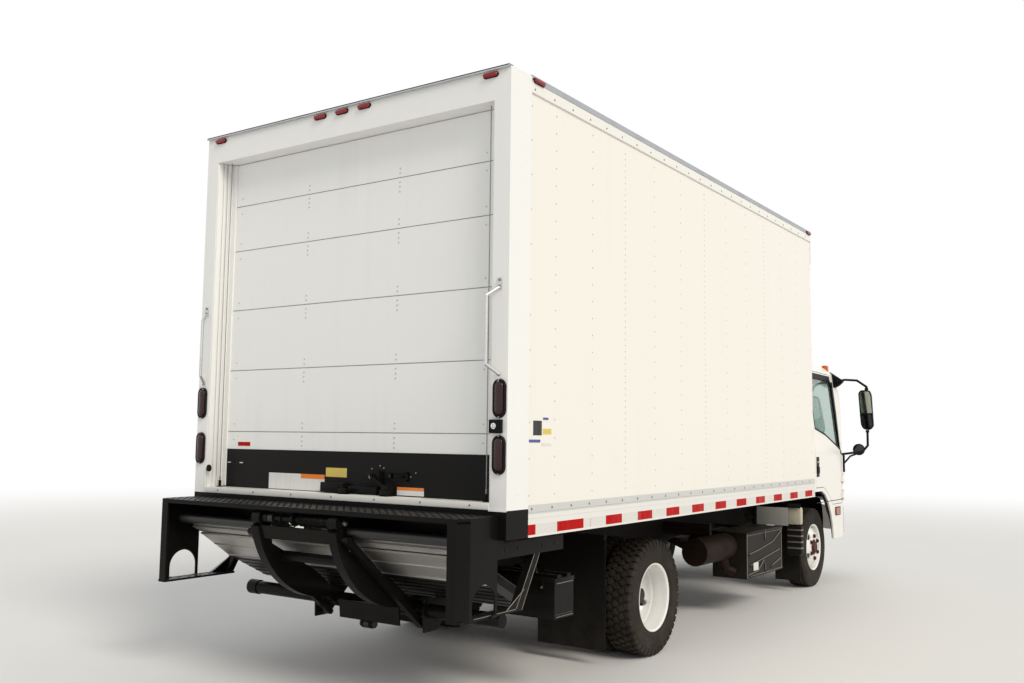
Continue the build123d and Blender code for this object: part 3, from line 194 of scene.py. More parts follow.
def ramp(tree, value, low, high, to_low=0.0, to_high=1.0):
    """A smooth change from one value to another as the input passes from low to high."""
    made = tree.nodes.new("ShaderNodeMapRange")
    made.interpolation_type = "SMOOTHSTEP"
    for label, number in (("From Min", low), ("From Max", high), ("To Min", to_low), ("To Max", to_high)):
        feed(tree, number, made.inputs[label])
    tree.links.new(value, made.inputs["Value"])
    return made.outputs["Result"]


print("helpers ready")

# %% [markdown]
# ### Road dust
# Dust is thickest near the road and breaks up in patches. The height of a point sets how much there is,
# and noise makes the edge uneven.

# %% Road dust group
road_dust, into, out = start_group(
    "road dust",
    [("Paint", (0.8, 0.8, 0.8, 1)), ("Dust", (0.32, 0.26, 0.2, 1)), ("Amount", 0.5), ("Clean above", 1.1),
     ("Patch size", 3.0)],
    [("Color", "NodeSocketColor"), ("Mask", "NodeSocketFloat")],
)
dust_full = 0.12
height_mask = ramp(road_dust, axis(road_dust, "Z"), into.outputs["Clean above"], dust_full)
patches = ramp(road_dust, noise(road_dust, into.outputs["Patch size"], 8.0, rough=0.65), 0.3, 0.72, 0.25, 1.0)
dusted = sums(road_dust, "MULTIPLY", sums(road_dust, "MULTIPLY", height_mask, patches),
              into.outputs["Amount"])
road_dust.links.new(mix_colours(road_dust, dusted, into.outputs["Paint"], into.outputs["Dust"]),
                    out.inputs["Color"])
road_dust.links.new(dusted, out.inputs["Mask"])
print(road_dust.name, "ready")

# %% [markdown]
# ### Rain streaks
# Water runs straight down a wall and leaves faint stripes. Noise that is squeezed along the height gives
# long thin marks.

# %% Rain streak group
rain_streaks, into, out = start_group(
    "rain streaks",
    [("Paint", (0.8, 0.8, 0.8, 1)), ("Stain", (0.55, 0.5, 0.42, 1)), ("Amount", 0.15), ("Width", 9.0)],
    [("Color", "NodeSocketColor"), ("Mask", "NodeSocketFloat")],
)
fine = noise(rain_streaks, into.outputs["Width"], 6.0, (1, 1, 0.035))
broad = noise(rain_streaks, 0.8, 3.0)
streaked = sums(rain_streaks, "MULTIPLY", ramp(rain_streaks, fine, 0.45, 0.8),
                ramp(rain_streaks, broad, 0.3, 0.7))
streaked = sums(rain_streaks, "MULTIPLY", streaked, into.outputs["Amount"])
rain_streaks.links.new(mix_colours(rain_streaks, streaked, into.outputs["Paint"], into.outputs["Stain"]),
                       out.inputs["Color"])
rain_streaks.links.new(streaked, out.inputs["Mask"])
print(rain_streaks.name, "ready")

# %% [markdown]
# ### Uneven sheet, grain and brushing
# Three kinds of relief: slow waves for thin sheet over posts, a fine grain for castings, plastic and
# sprayed paint, and long parallel scratches for drawn or brushed metal.

# %% Relief group
relief, into, out = start_group(
    "surface relief",
    [("Wave size", 1.6), ("Grain size", 420.0), ("Wave", 1.0), ("Grain", 0.2)],
    [("Height", "NodeSocketFloat"), ("Grain mask", "NodeSocketFloat")],
)
slow = noise(relief, into.outputs["Wave size"], 2.0)
quick = noise(relief, into.outputs["Grain size"], 3.0)
relief.links.new(sums(relief, "ADD", sums(relief, "MULTIPLY", slow, into.outputs["Wave"]),
                      sums(relief, "MULTIPLY", quick, into.outputs["Grain"])), out.inputs["Height"])
relief.links.new(quick, out.inputs["Grain mask"])
print(relief.name, "ready")

# %% Brushed metal group
brushing, into, out = start_group(
    "brushing",
    [("Metal", (0.7, 0.7, 0.7, 1)), ("Dark", (0.4, 0.4, 0.4, 1)), ("Line size", 260.0), ("Contrast", 0.35)],
    [("Color", "NodeSocketColor"), ("Height", "NodeSocketFloat"), ("Mask", "NodeSocketFloat")],
)
lines = noise(brushing, into.outputs["Line size"], 3.0, (1, 0.012, 1))
blotches = noise(brushing, 5.0, 6.0)
worn = sums(brushing, "MULTIPLY", ramp(brushing, lines, 0.3, 0.75), into.outputs["Contrast"])
worn = sums(brushing, "ADD", worn, sums(brushing, "MULTIPLY", ramp(brushing, blotches, 0.45, 0.75), 0.3))
brushing.links.new(mix_colours(brushing, worn, into.outputs["Metal"], into.outputs["Dark"]),
                   out.inputs["Color"])
brushing.links.new(lines, out.inputs["Height"])
brushing.links.new(worn, out.inputs["Mask"])
print(brushing.name, "ready")

# %% [markdown]
# ### Chips and scuffs
# Black paint on steel chips where things knock it, and the bare metal or a brown film shows. A sharp
# threshold on noise gives small islands.

# %% Chip group
chips, into, out = start_group(
    "paint chips",
    [("Paint", (0.02, 0.02, 0.02, 1)), ("Bare", (0.25, 0.2, 0.16, 1)), ("Amount", 0.5), ("Chip size", 22.0)],
    [("Color", "NodeSocketColor"), ("Mask", "NodeSocketFloat")],
)
spots = noise(chips, into.outputs["Chip size"], 9.0, rough=0.75)
areas = noise(chips, 2.2, 3.0)
chipped = sums(chips, "MULTIPLY", ramp(chips, spots, 0.62, 0.7), ramp(chips, areas, 0.42, 0.62))
chipped = sums(chips, "MULTIPLY", chipped, into.outputs["Amount"])
chips.links.new(mix_colours(chips, chipped, into.outputs["Paint"], into.outputs["Bare"]), out.inputs["Color"])
chips.links.new(chipped, out.inputs["Mask"])
print(chips.name, "ready")

# %% [markdown]
# ## Materials
# Each finish below has its own Principled shader. The groups feed its colour, its roughness and its bump,
# and every number that is the same all over is set on the shader itself.

# %% A helper that starts a material
def finish_of(name, colour, rough, metallic=0.0, coat=0.0, shine=0.5):
    """A material with a Principled shader, and its node tree. Shine is how much a bare surface mirrors."""
    material = bpy.data.materials.new(name)
    material.use_nodes = True
    tree = material.node_tree
    shader = tree.nodes["Principled BSDF"]
    shader.inputs["Base Color"].default_value = (*colour, 1)
    shader.inputs["Roughness"].default_value = rough
    shader.inputs["Metallic"].default_value = metallic
    shader.inputs["Coat Weight"].default_value = coat
    shader.inputs["Specular IOR Level"].default_value = shine
    return material, tree, shader


def place_group(tree, group, **values):
    """A group placed in a material, with its inputs set or linked by name."""
    made = tree.nodes.new("ShaderNodeGroup")
    made.node_tree = group
    for label, value in values.items():
        feed(tree, value, made.inputs[label.replace("_", " ")])
    return made


def bump(tree, shader, height, strength, distance):
    """Feeds a height into the shader's normal."""
    made = tree.nodes.new("ShaderNodeBump")
    made.inputs["Strength"].default_value = strength
    made.inputs["Distance"].default_value = distance
    tree.links.new(height, made.inputs["Height"])
    tree.links.new(made.outputs["Normal"], shader.inputs["Normal"])


def rough_by(tree, shader, mask, low, high):
    """Roughness that goes from low to high with a mask."""
    tree.links.new(ramp(tree, mask, 0.0, 1.0, low, high), shader.inputs["Roughness"])


def colour_by(tree, shader, colour, mask, low, high):
    """A base colour from a socket, and roughness that goes from low to high with a mask."""
    tree.links.new(colour, shader.inputs["Base Color"])
    rough_by(tree, shader, mask, low, high)


print("a material starts with one shader, and groups and masks feed it")

# %% [markdown]
# ### White paints
# The body, its rails, the cab and the wheels are all white, but not the same white: each has a tone of its
# own, and its own share of dust and streaks.

# %% Painted panels
def painted(name, colour, dust=0.5, clean_above=1.3, streaks=0.12, wave=1.0, rough=0.32, coat=0.3, shine=0.4):
    """Gloss paint on sheet: streaks from rain, dust low down, a slow wave in the sheet."""
    material, tree, shader = finish_of(name, colour, rough, coat=coat, shine=shine)
    shader.inputs["Coat Roughness"].default_value = 0.12
    streak = place_group(tree, rain_streaks, Paint=(*colour, 1), Amount=streaks)
    dusty = place_group(tree, road_dust, Paint=streak.outputs["Color"], Amount=dust, Clean_above=clean_above)
    colour_by(tree, shader, dusty.outputs["Color"],
              sums(tree, "ADD", dusty.outputs["Mask"], streak.outputs["Mask"]), rough, 0.75)
    shape = place_group(tree, relief, Wave=wave, Grain=0.02)
    bump(tree, shader, shape.outputs["Height"], 0.25, 0.006)
    return material


wall_white = painted("wall paint", (0.86, 0.83, 0.765), dust=0.12, clean_above=1.5, streaks=0.07, wave=1.5,
                     rough=0.42, coat=0.05)
frame_white = painted("rear frame paint", (0.86, 0.855, 0.83), dust=0.16, clean_above=1.7, streaks=0.1,
                      wave=0.5, rough=0.4, coat=0.1)
rail_white = painted("bottom rail paint", (0.78, 0.765, 0.73), dust=0.14, clean_above=1.3, streaks=0.15,
                     wave=0.3, rough=0.45, coat=0.05)
cab_white = painted("cab paint", (0.86, 0.84, 0.79), dust=0.1, clean_above=1.0, streaks=0.03, wave=0.25,
                    rough=0.25, coat=0.12, shine=0.3)
wheel_white = painted("wheel paint", (0.85, 0.845, 0.82), dust=0.2, clean_above=0.62, streaks=0.06, wave=0.1,
                      rough=0.3)
print("white paints ready")

# %% [markdown]
# ### The roll-up door
# The door is a stack of painted plywood panels. Its lowest part is a black kick panel, which the solid
# model has in one piece with the rest, so the height of a point chooses between white and black paint.

# %% Door paint with its black kick panel
kick_top = 1.357

door_paint, tree, shader = finish_of("door paint", (0.88, 0.88, 0.86), 0.38, shine=0.12)
above = sums(tree, "GREATER_THAN", axis(tree, "Z"), kick_top)
streak = place_group(tree, rain_streaks, Paint=(0.88, 0.88, 0.86, 1), Stain=(0.68, 0.66, 0.62, 1), Amount=0.2,
                     Width=14.0)
scuff = place_group(tree, chips, Paint=(0.0065, 0.006, 0.0058, 1), Bare=(0.05, 0.045, 0.04, 1), Amount=0.3)
both = mix_colours(tree, above, scuff.outputs["Color"], streak.outputs["Color"])
colour_by(tree, shader, both, streak.outputs["Mask"], 0.38, 0.7)
shape = place_group(tree, relief, Wave_size=1.1, Wave=1.0, Grain_size=160.0, Grain=0.06)
bump(tree, shader, shape.outputs["Height"], 0.3, 0.006)
print(door_paint.name, "turns black below", kick_top, "m")

# %% [markdown]
# ### Liftgate, frame and running gear
# The gate is black enamel on steel plate: glossy, knocked about and dusty. The frame under the body is a
# flatter black with more road dirt.

# %% Black enamels
def enamel(name, colour, rough, chip=0.5, dust=0.4, clean_above=0.9, coat=0.0, bare=(0.22, 0.17, 0.13),
           shine=0.07):
    """Black paint on steel that chips and gathers dust."""
    material, tree, shader = finish_of(name, colour, rough, coat=coat, shine=shine)
    worn = place_group(tree, chips, Paint=(*colour, 1), Bare=(*bare, 1), Amount=chip)
    dusty = place_group(tree, road_dust, Paint=worn.outputs["Color"], Amount=dust, Clean_above=clean_above,
                        Patch_size=6.0)
    colour_by(tree, shader, dusty.outputs["Color"],
              sums(tree, "ADD", dusty.outputs["Mask"], worn.outputs["Mask"]), rough, 0.85)
    shape = place_group(tree, relief, Wave_size=9.0, Wave=0.5, Grain_size=300.0, Grain=0.35)
    bump(tree, shader, shape.outputs["Height"], 0.3, 0.0015)
    return material


gate_enamel = enamel("gate enamel", (0.0065, 0.006, 0.0058), 0.32, chip=0.3, dust=0.025, clean_above=1.0,
                     coat=0.035, bare=(0.06, 0.05, 0.04))
frame_black = enamel("frame black", (0.008, 0.007, 0.0062), 0.6, chip=0.4, dust=0.05, clean_above=1.1,
                     bare=(0.05, 0.04, 0.03))
axle_black = enamel("axle black", (0.011, 0.009, 0.008), 0.62, chip=0.6, dust=0.1, clean_above=1.0,
                    bare=(0.07, 0.05, 0.035))
spring_dark = enamel("spring steel", (0.015, 0.012, 0.01), 0.66, chip=0.7, dust=0.09,
                     bare=(0.09, 0.045, 0.025))
box_black = enamel("battery box paint", (0.011, 0.0095, 0.0085), 0.42, chip=0.3, dust=0.045, clean_above=0.9,
                   bare=(0.08, 0.07, 0.06))
print("black paints ready")

# %% [markdown]
# ### Bare metals
# Drawn aluminium and zinc aren't mirrors: fine lines run along them, and dust dulls them low down. So the
# colour, the shine and the roughness all follow the brushing group.

# %% Bare metals
def bare_metal(name, colour, dark, rough, contrast=0.35, dust=0.1, line=260.0):
    """Drawn or rolled metal: fine lines along Y, blotches, a film of dust."""
    material, tree, shader = finish_of(name, colour, rough, metallic=1.0)
    brushed = place_group(tree, brushing, Metal=(*colour, 1), Dark=(*dark, 1), Line_size=line,
                          Contrast=contrast)
    dusty = place_group(tree, road_dust, Paint=brushed.outputs["Color"], Amount=dust, Clean_above=1.2)
    colour_by(tree, shader, dusty.outputs["Color"], brushed.outputs["Mask"], rough, min(rough + 0.3, 0.9))
    tree.links.new(ramp(tree, dusty.outputs["Mask"], 0.0, 0.6, 1.0, 0.2), shader.inputs["Metallic"])
    bump(tree, shader, brushed.outputs["Height"], 0.12, 0.0006)
    return material


platform_metal = bare_metal("platform aluminium", (0.62, 0.6, 0.57), (0.36, 0.34, 0.32), 0.34, 0.5, 0.2)
rail_metal = bare_metal("rail aluminium", (0.5, 0.51, 0.53), (0.3, 0.31, 0.33), 0.45, 0.3, 0.0)
bright_metal = bare_metal("bright steel", (0.8, 0.8, 0.8), (0.5, 0.5, 0.5), 0.16, 0.15, 0.0)
zinc_metal = bare_metal("galvanised steel", (0.66, 0.66, 0.65), (0.42, 0.42, 0.42), 0.38, 0.3, 0.0, 90.0)
heat_metal = bare_metal("heat stained steel", (0.03, 0.019, 0.016), (0.012, 0.008, 0.007), 0.62, 0.7, 0.05)
iron_metal = bare_metal("cast iron", (0.09, 0.085, 0.08), (0.04, 0.037, 0.035), 0.6, 0.6, 0.3)
print("bare metals ready")

# %% [markdown]
# ### Paint on a part of a piece
# Some solids wear two finishes: the top rail is white below its cove, and the platform is black at its
# hinge edge and beyond its ramp. The solid stays whole, and the place of a point chooses between metal and
# paint. The cab is lined in dark grey by the same trick.

# %% A coat of paint picked by place
def masked(material, other_colour, other_rough, share_of):
    """Paints the part of a finish where share_of, which adds nodes to the tree, puts out 1."""
    tree = material.node_tree
    shader = tree.nodes["Principled BSDF"]
    share = share_of(tree)
    rest = sums(tree, "SUBTRACT", 1.0, share)
    under = shader.inputs["Base Color"].links[0].from_socket
    tree.links.new(mix_colours(tree, share, under, (*other_colour, 1)), shader.inputs["Base Color"])
    if shader.inputs["Metallic"].is_linked:
        shine = shader.inputs["Metallic"].links[0].from_socket
        tree.links.new(sums(tree, "MULTIPLY", shine, rest), shader.inputs["Metallic"])
    rough = shader.inputs["Roughness"].links[0].from_socket
    tree.links.new(sums(tree, "ADD", sums(tree, "MULTIPLY", rough, rest),
                        sums(tree, "MULTIPLY", share, other_rough)), shader.inputs["Roughness"])
    coat = shader.inputs["Coat Weight"].default_value
    tree.links.new(sums(tree, "MULTIPLY", rest, coat), shader.inputs["Coat Weight"])


def beyond(letter, test, limit):
    """A share that is 1 where one coordinate is greater or less than a limit."""
    return lambda tree: sums(tree, test, axis(tree, letter), limit)


cove_low = 3.372
flange_low = 1.052
rod_eye_ends = -2.96
black_coat = (0.007, 0.0065, 0.006)
rod_steel = bare_metal("cylinder rod chrome", (0.78, 0.78, 0.78), (0.5, 0.5, 0.5), 0.14, 0.15, 0.0)
masked(rail_metal, (0.84, 0.82, 0.77), 0.35, beyond("Z", "LESS_THAN", cove_low))
masked(rail_white, (0.6, 0.6, 0.58), 0.42, beyond("Z", "GREATER_THAN", flange_low))
masked(rod_steel, black_coat, 0.4, beyond("X", "LESS_THAN", rod_eye_ends))
print("painted in part:", rail_metal.name, rail_white.name, rod_steel.name)

# %% Platform edges and cab lining
hinge = Vector((-3.62, 0, 0.985))
slope = math.radians(27)
belt = 1.340
belt_half = 1.032
pillar_lean = 0.1166


def platform_black_part(tree):
    """The edge at the hinge, and all of the platform beyond the ramp, are black."""
    down = sums(tree, "MULTIPLY", sums(tree, "SUBTRACT", axis(tree, "X"), hinge.x), math.cos(slope))
    drop = sums(tree, "MULTIPLY", sums(tree, "SUBTRACT", axis(tree, "Z"), hinge.z), math.sin(slope))
    along = sums(tree, "SUBTRACT", down, drop)
    return sums(tree, "ADD", sums(tree, "LESS_THAN", along, 0.119), sums(tree, "GREATER_THAN", along, 0.474))


def cab_lining(tree):
    """The inside of the cab is lined in dark grey, and the wheel arches are black rubber."""
    x, z = axis(tree, "X"), axis(tree, "Z")
    lean = sums(tree, "MULTIPLY", sums(tree, "MAXIMUM", sums(tree, "SUBTRACT", z, belt), 0.0), pillar_lean)
    inside = sums(tree, "LESS_THAN", sums(tree, "ABSOLUTE", axis(tree, "Y")),
                  sums(tree, "SUBTRACT", belt_half - 0.016, lean))
    for coordinate, test, limit in ((z, "LESS_THAN", 2.16), (x, "GREATER_THAN", 1.875),
                                    (x, "LESS_THAN", 3.14)):
        inside = sums(tree, "MULTIPLY", inside, sums(tree, test, coordinate, limit))
    return inside


masked(platform_metal, black_coat, 0.4, platform_black_part)
masked(cab_white, (0.02, 0.019, 0.018), 0.7, cab_lining)
print("painted in part:", platform_metal.name, cab_white.name)

# %% [markdown]
# ### Rubber and plastic
# Tyre rubber is a warm dark grey, not black, and the tread holds pale dust. Moulded plastic has an even
# grain and a soft shine.

# %% Rubber, plastics and cloth
def moulded(name, colour, rough, grain=0.6, dust=0.25, clean_above=0.9, grain_size=900.0,
            dust_colour=(0.3, 0.25, 0.2)):
    """Moulded rubber or plastic: a grain over all of it, and dust low down."""
    material, tree, shader = finish_of(name, colour, rough, shine=0.08)
    shape = place_group(tree, relief, Wave_size=4.0, Wave=0.3, Grain_size=grain_size, Grain=grain)
    shade = mix_colours(tree, ramp(tree, shape.outputs["Grain mask"], 0.35, 0.7), (*colour, 1),
                        (*[min(c * 1.5, 1) for c in colour], 1))
    dusty = place_group(tree, road_dust, Paint=shade, Dust=(*dust_colour, 1), Amount=dust,
                        Clean_above=clean_above, Patch_size=9.0)
    colour_by(tree, shader, dusty.outputs["Color"], dusty.outputs["Mask"], rough, 0.9)
    bump(tree, shader, shape.outputs["Height"], 0.35, 0.0008)
    return material


tyre_rubber = moulded("tyre rubber", (0.014, 0.0118, 0.010), 0.74, 0.4, 0.12, 1.3)
flap_rubber = moulded("flap rubber", (0.0055, 0.005, 0.0045), 0.6, 0.6, 0.04, 0.7)
trim_plastic = moulded("black trim", (0.0065, 0.0065, 0.007), 0.42, 0.6, 0.02)
grille_plastic = moulded("grille plastic", (0.018, 0.018, 0.019), 0.5, 0.5, 0.08)
dash_plastic = moulded("dash plastic", (0.11, 0.11, 0.115), 0.6, 1.0, 0.0)
hose_rubber = moulded("hose rubber", (0.010, 0.0095, 0.009), 0.5, 0.4, 0.06)

seat_cloth, tree, shader = finish_of("seat cloth", (0.16, 0.165, 0.175), 0.9)
shader.inputs["Sheen Weight"].default_value = 0.3
place = tree.nodes.new("ShaderNodeTexCoord")
weave_sum = None
for turned in (0, 1):
    laid = tree.nodes.new("ShaderNodeMapping")
    laid.inputs["Rotation"].default_value = (0, math.radians(45), math.radians(90 * turned))
    stripes = tree.nodes.new("ShaderNodeTexWave")
    stripes.inputs["Scale"].default_value = 190
    stripes.inputs["Distortion"].default_value = 0.6
    tree.links.new(place.outputs["Object"], laid.inputs["Vector"])
    tree.links.new(laid.outputs["Vector"], stripes.inputs["Vector"])
    weave_sum = stripes.outputs["Fac"] if weave_sum is None else sums(
        tree, "MAXIMUM", weave_sum, stripes.outputs["Fac"])
tree.links.new(mix_colours(tree, weave_sum, (0.1, 0.105, 0.115, 1), (0.2, 0.205, 0.215, 1)),
               shader.inputs["Base Color"])
bump(tree, shader, weave_sum, 0.5, 0.001)

floor_wood, tree, shader = finish_of("hardwood floor", (0.36, 0.24, 0.14), 0.55)
plank = noise(tree, 14.0, 6.0, (0.04, 1, 1))
tree.links.new(mix_colours(tree, ramp(tree, plank, 0.3, 0.7), (0.42, 0.3, 0.19, 1), (0.24, 0.16, 0.1, 1)),
               shader.inputs["Base Color"])
rough_by(tree, shader, plank, 0.45, 0.75)
bump(tree, shader, plank, 0.3, 0.001)
print("rubbers, plastics, cloth and wood ready")

# %% [markdown]
# ### Glass and lenses
# Cab glass is thin, green and clear, so the seats show through it. Lamp lenses are dark red or clear
# plastic with fine ribs moulded inside, which a wave pattern gives as a small bump.

# %% Glass and lens materials
def lens(name, colour, rough=0.1, clear=0.0):
    """A lamp lens: coloured plastic with moulded ribs."""
    material, tree, shader = finish_of(name, colour, rough, coat=0.25, shine=0.3)
    shader.inputs["Coat Roughness"].default_value = 0.04
    shader.inputs["Transmission Weight"].default_value = clear
    place = tree.nodes.new("ShaderNodeTexCoord")
    wave = tree.nodes.new("ShaderNodeTexWave")
    wave.bands_direction = "DIAGONAL"
    wave.inputs["Scale"].default_value = 42.0
    tree.links.new(place.outputs["Object"], wave.inputs["Vector"])
    deep = tuple(c * 0.45 for c in colour)
    tree.links.new(mix_colours(tree, wave.outputs["Fac"], (*deep, 1), (*colour, 1)),
                   shader.inputs["Base Color"])
    rough_by(tree, shader, noise(tree, 30.0, 3.0), rough, rough + 0.2)
    bump(tree, shader, wave.outputs["Fac"], 0.3, 0.0012)
    return material


tail_red = lens("tail lens", (0.034, 0.0018, 0.004), 0.16)
marker_red = lens("marker lens", (0.36, 0.008, 0.01), 0.18)
roof_amber = lens("roof marker lens", (0.85, 0.16, 0.02))
clear_lens = lens("clear lens", (0.85, 0.87, 0.88), 0.05, 0.7)

cab_glass, tree, shader = finish_of("cab glass", (0.62, 0.74, 0.7), 0.02)
shader.inputs["Transmission Weight"].default_value = 0.92
shader.inputs["IOR"].default_value = 1.45
film = noise(tree, 2.4, 5.0)
tree.links.new(mix_colours(tree, ramp(tree, film, 0.4, 0.7), (0.6, 0.73, 0.69, 1), (0.68, 0.76, 0.72, 1)),
               shader.inputs["Base Color"])
rough_by(tree, shader, film, 0.01, 0.06)

# Mirror colours are painted reflections: the upper glass is a dim green-grey mirror, and the wide-angle glass
# a nearly black one.
mirror_painted_reflection, tree, shader = finish_of("mirror glass painted reflection", (0.36, 0.4, 0.34), 0.03, metallic=1.0)
rough_by(tree, shader, noise(tree, 20.0), 0.02, 0.08)
wide_glass_painted_reflection, tree, shader = finish_of("wide angle glass painted dark reflection", (0.05, 0.055, 0.06), 0.05, metallic=1.0)
rough_by(tree, shader, noise(tree, 24.0), 0.03, 0.1)
print("glass and lenses ready")

# %% [markdown]
# ## Every solid gets its finish
# A solid's faces use the material in its first slot. This table is the whole paint list.

# %% Paint list
paint_list = {
    wall_white: ["side_walls", "front_wall", "body_roof"],
    frame_white: ["rear_frame"],
    rail_white: ["bottom_rails"],
    rail_metal: ["top_rails"],
    door_paint: ["rollup_door"],
    floor_wood: ["load_floor"],
    gate_enamel: ["door_hardware", "deck_extension", "liftgate_frame", "pump_box", "lift_arms",
                  "parallel_links", "platform_carrier", "lift_cylinder"],
    platform_metal: ["platform", "flipover"],
    rod_steel: ["cylinder_rod"],
    zinc_metal: ["grab_handles"],
    frame_black: ["chassis_frame"],
    axle_black: ["front_axle", "rear_axle", "knuckle_left", "knuckle_right", "fuel_tank"],
    spring_dark: ["leaf_springs"],
    box_black: ["battery_box"],
    heat_metal: ["exhaust"],
    iron_metal: ["engine"],
    flap_rubber: ["mud_flaps"],
    cab_white: ["cab_shell", "door_left", "door_right", "front_bumper"],
    cab_glass: ["cab_glass", "door_glass_left", "door_glass_right"],
    grille_plastic: ["front_grille"],
    clear_lens: ["cab_lamps"],
    trim_plastic: ["mirrors"],
    dash_plastic: ["dashboard"],
    seat_cloth: ["seats"],
    marker_red: ["body_lamps"],
    tyre_rubber: ["tyre_front_left", "tyre_front_right", "tyres_rear_left", "tyres_rear_right"],
    wheel_white: ["rim_front_left", "rim_front_right", "rims_rear_left", "rims_rear_right"],
}


def set_finish(obj, material):
    """Puts one material in all of an object's slots."""
    if not obj.material_slots:
        obj.data.materials.append(material)
    for holder in obj.material_slots:
        holder.material = material


for material, names in paint_list.items():
    for name in names:
        set_finish(bpy.data.objects[name], material)

# %% [markdown]
# ## Making a piece
# Every added piece is a mesh that rides on one body of the frame. These helpers turn raw vertices into such
# a piece: they join doubled points, turn the faces outward, shade round parts smooth and keep edges crisp.

# %% A finished piece
def piece(name, bm, body, slot, *materials, crease=32):
    """A finished piece from a bmesh, riding on a body, with its materials."""
    bmesh.ops.remove_doubles(bm, verts=bm.verts, dist=1e-6)
    bmesh.ops.recalc_face_normals(bm, faces=bm.faces)
    mesh = bpy.data.meshes.new(name)
    bm.to_mesh(mesh)
    bm.free()
    made = bpy.data.objects.new(name, mesh)
    bpy.context.scene.collection.objects.link(made)
    for material in materials:
        mesh.materials.append(material)
    mesh.shade_smooth()
    mesh.set_sharp_from_angle(angle=math.radians(crease))
    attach(made, body)
    print(name, "has", len(mesh.polygons), "faces")
    return made


# %% [markdown]
# Most shapes here are rings of points with faces between them: a rim, a bar, a tube and a rivet differ only
# in where their rings lie. So one function joins rings, and the others place them.

# %% Faces between rings
def bridge(bm, rings, closed=True, loop=False, material=0):
    """Faces between rings of points; closed joins a ring's ends, loop joins the last ring to the first."""
    rows = len(rings) if loop else len(rings) - 1
    for row in range(rows):
        near, far = rings[row], rings[(row + 1) % len(rings)]
        count = len(near)
        for i in range(count if closed else count - 1):
            j = (i + 1) % count
            corners = [near[i], near[j], far[j], far[i]]
            if len({c.index if c.index >= 0 else id(c) for c in corners}) == 4:
                bm.faces.new(corners).material_index = material


def about_axle(bm, centre, side, out, radius, angle):
    """A point beside a wheel's centre: outward along its axle, at a radius and an angle from the top."""
    return bm.verts.new((centre[0] + radius * math.sin(angle), centre[1] + side * out,
                         centre[2] + radius * math.cos(angle)))


def lathe(bm, profile, centre, side=1, steps=96, material=0, wobble=None):
    """Turns a closed profile of (outward, radius) about the wheel's axis, which runs along Y."""
    rings = []
    for step in range(steps):
        turn = 2 * math.pi * step / steps
        ring = []
        for place_in, (out, radius) in enumerate(profile):
            if wobble:
                out = out + wobble(step, place_in)
            ring.append(about_axle(bm, centre, side, out, radius, turn))
        rings.append(ring)
    bridge(bm, rings, loop=True, material=material)


def cap(bm, rings, material=0):
    """Closes the first and the last ring."""
    for ring in (rings[0], rings[-1]):
        bm.faces.new(ring).material_index = material


def prism(bm, outline, start, end, across, up, material=0, bevel=0.0):
    """A straight bar: an outline of (across, up) points carried from start to end."""
    start, end, across, up = map(Vector, (start, end, across, up))
    along = (end - start).normalized()
    if bevel:
        ends = [(start, False), (start + along * bevel, True), (end - along * bevel, True), (end, False)]
    else:
        ends = [(start, True), (end, True)]
    middle = Vector((sum(p[0] for p in outline), sum(p[1] for p in outline))) / len(outline)
    rings = []
    for origin, full in ends:
        ring = []
        for a, u in outline:
            offset = Vector((a, u)) - middle
            shrink = 1.0 if full else max(1 - bevel / max(offset.length, 1e-6), 0.3)
            spot = middle + offset * shrink
            ring.append(bm.verts.new(origin + across * spot.x + up * spot.y))
        rings.append(ring)
    bridge(bm, rings, material=material)
    cap(bm, rings, material)


print("rings can be turned, drawn into bars and capped")

# %% Slabs
def slab(bm, low, high, bevel=0.002, material=0):
    """A box between two corners with its twelve edges bevelled."""
    low, high = Vector(low), Vector(high)
    made = bmesh.ops.create_cube(bm, size=1.0)
    for vert in made["verts"]:
        vert.co = Vector([low[i] + (vert.co[i] + 0.5) * (high[i] - low[i]) for i in range(3)])
    edges = list({edge for vert in made["verts"] for edge in vert.link_edges})
    for face in {face for vert in made["verts"] for face in vert.link_faces}:
        face.material_index = material
    if bevel:
        bmesh.ops.bevel(bm, geom=edges, offset=bevel, segments=2, affect="EDGES", profile=0.6,
                        clamp_overlap=True, material=-1)


def side_slab(bm, side, near, far, bevel=0.002, material=0):
    """A slab on the left (1) or right (-1), between corners whose y is measured outward."""
    slab(bm, (near[0], min(side * near[1], side * far[1]), near[2]),
         (far[0], max(side * near[1], side * far[1]), far[2]), bevel, material)


print("slabs have bevelled edges, so that they catch the light")

# %% Tubes, rivets and nuts
def circle(bm, centre, first, second, radius, sides):
    """A ring of points about a centre, in the plane of two directions."""
    turns = [2 * math.pi * k / sides for k in range(sides)]
    return [bm.verts.new(centre + (first * math.cos(turn) + second * math.sin(turn)) * radius)
            for turn in turns]


def plane_facing(out):
    """A direction as a unit vector, and two more that lie across it."""
    out = Vector(out).normalized()
    first = out.orthogonal().normalized()
    return out, first, out.cross(first)


def tube(bm, points, radius, sides=12, material=0):
    """A round tube through the points, with its section turned as little as possible at each bend."""
    points = [Vector(p) for p in points]
    forward = (points[1] - points[0]).normalized()
    side_way = forward.orthogonal().normalized()
    rings = []
    for i, point in enumerate(points):
        before = (point - points[i - 1]).normalized() if i else forward
        after = (points[i + 1] - point).normalized() if i < len(points) - 1 else before
        middle = (before + after).normalized()
        side_way = (side_way - middle * side_way.dot(middle)).normalized()
        other = middle.cross(side_way)
        spread = 1 / max(math.sqrt((1 + before.dot(after)) / 2), 0.5)
        rings.append(circle(bm, point, side_way, other, radius * spread, sides))
    bridge(bm, rings, material=material)
    cap(bm, rings, material)


def rivet(bm, spot, out, radius=0.007, height=0.003, sides=10, material=0):
    """A low domed head on a surface that faces out."""
    out, first, second = plane_facing(out)
    rings = [circle(bm, Vector(spot) + out * height * rise, first, second, radius * share, sides)
             for share, rise in ((1.0, 0.0), (0.92, 0.55), (0.55, 0.95))]
    bridge(bm, rings, material=material)
    bm.faces.new(rings[-1]).material_index = material


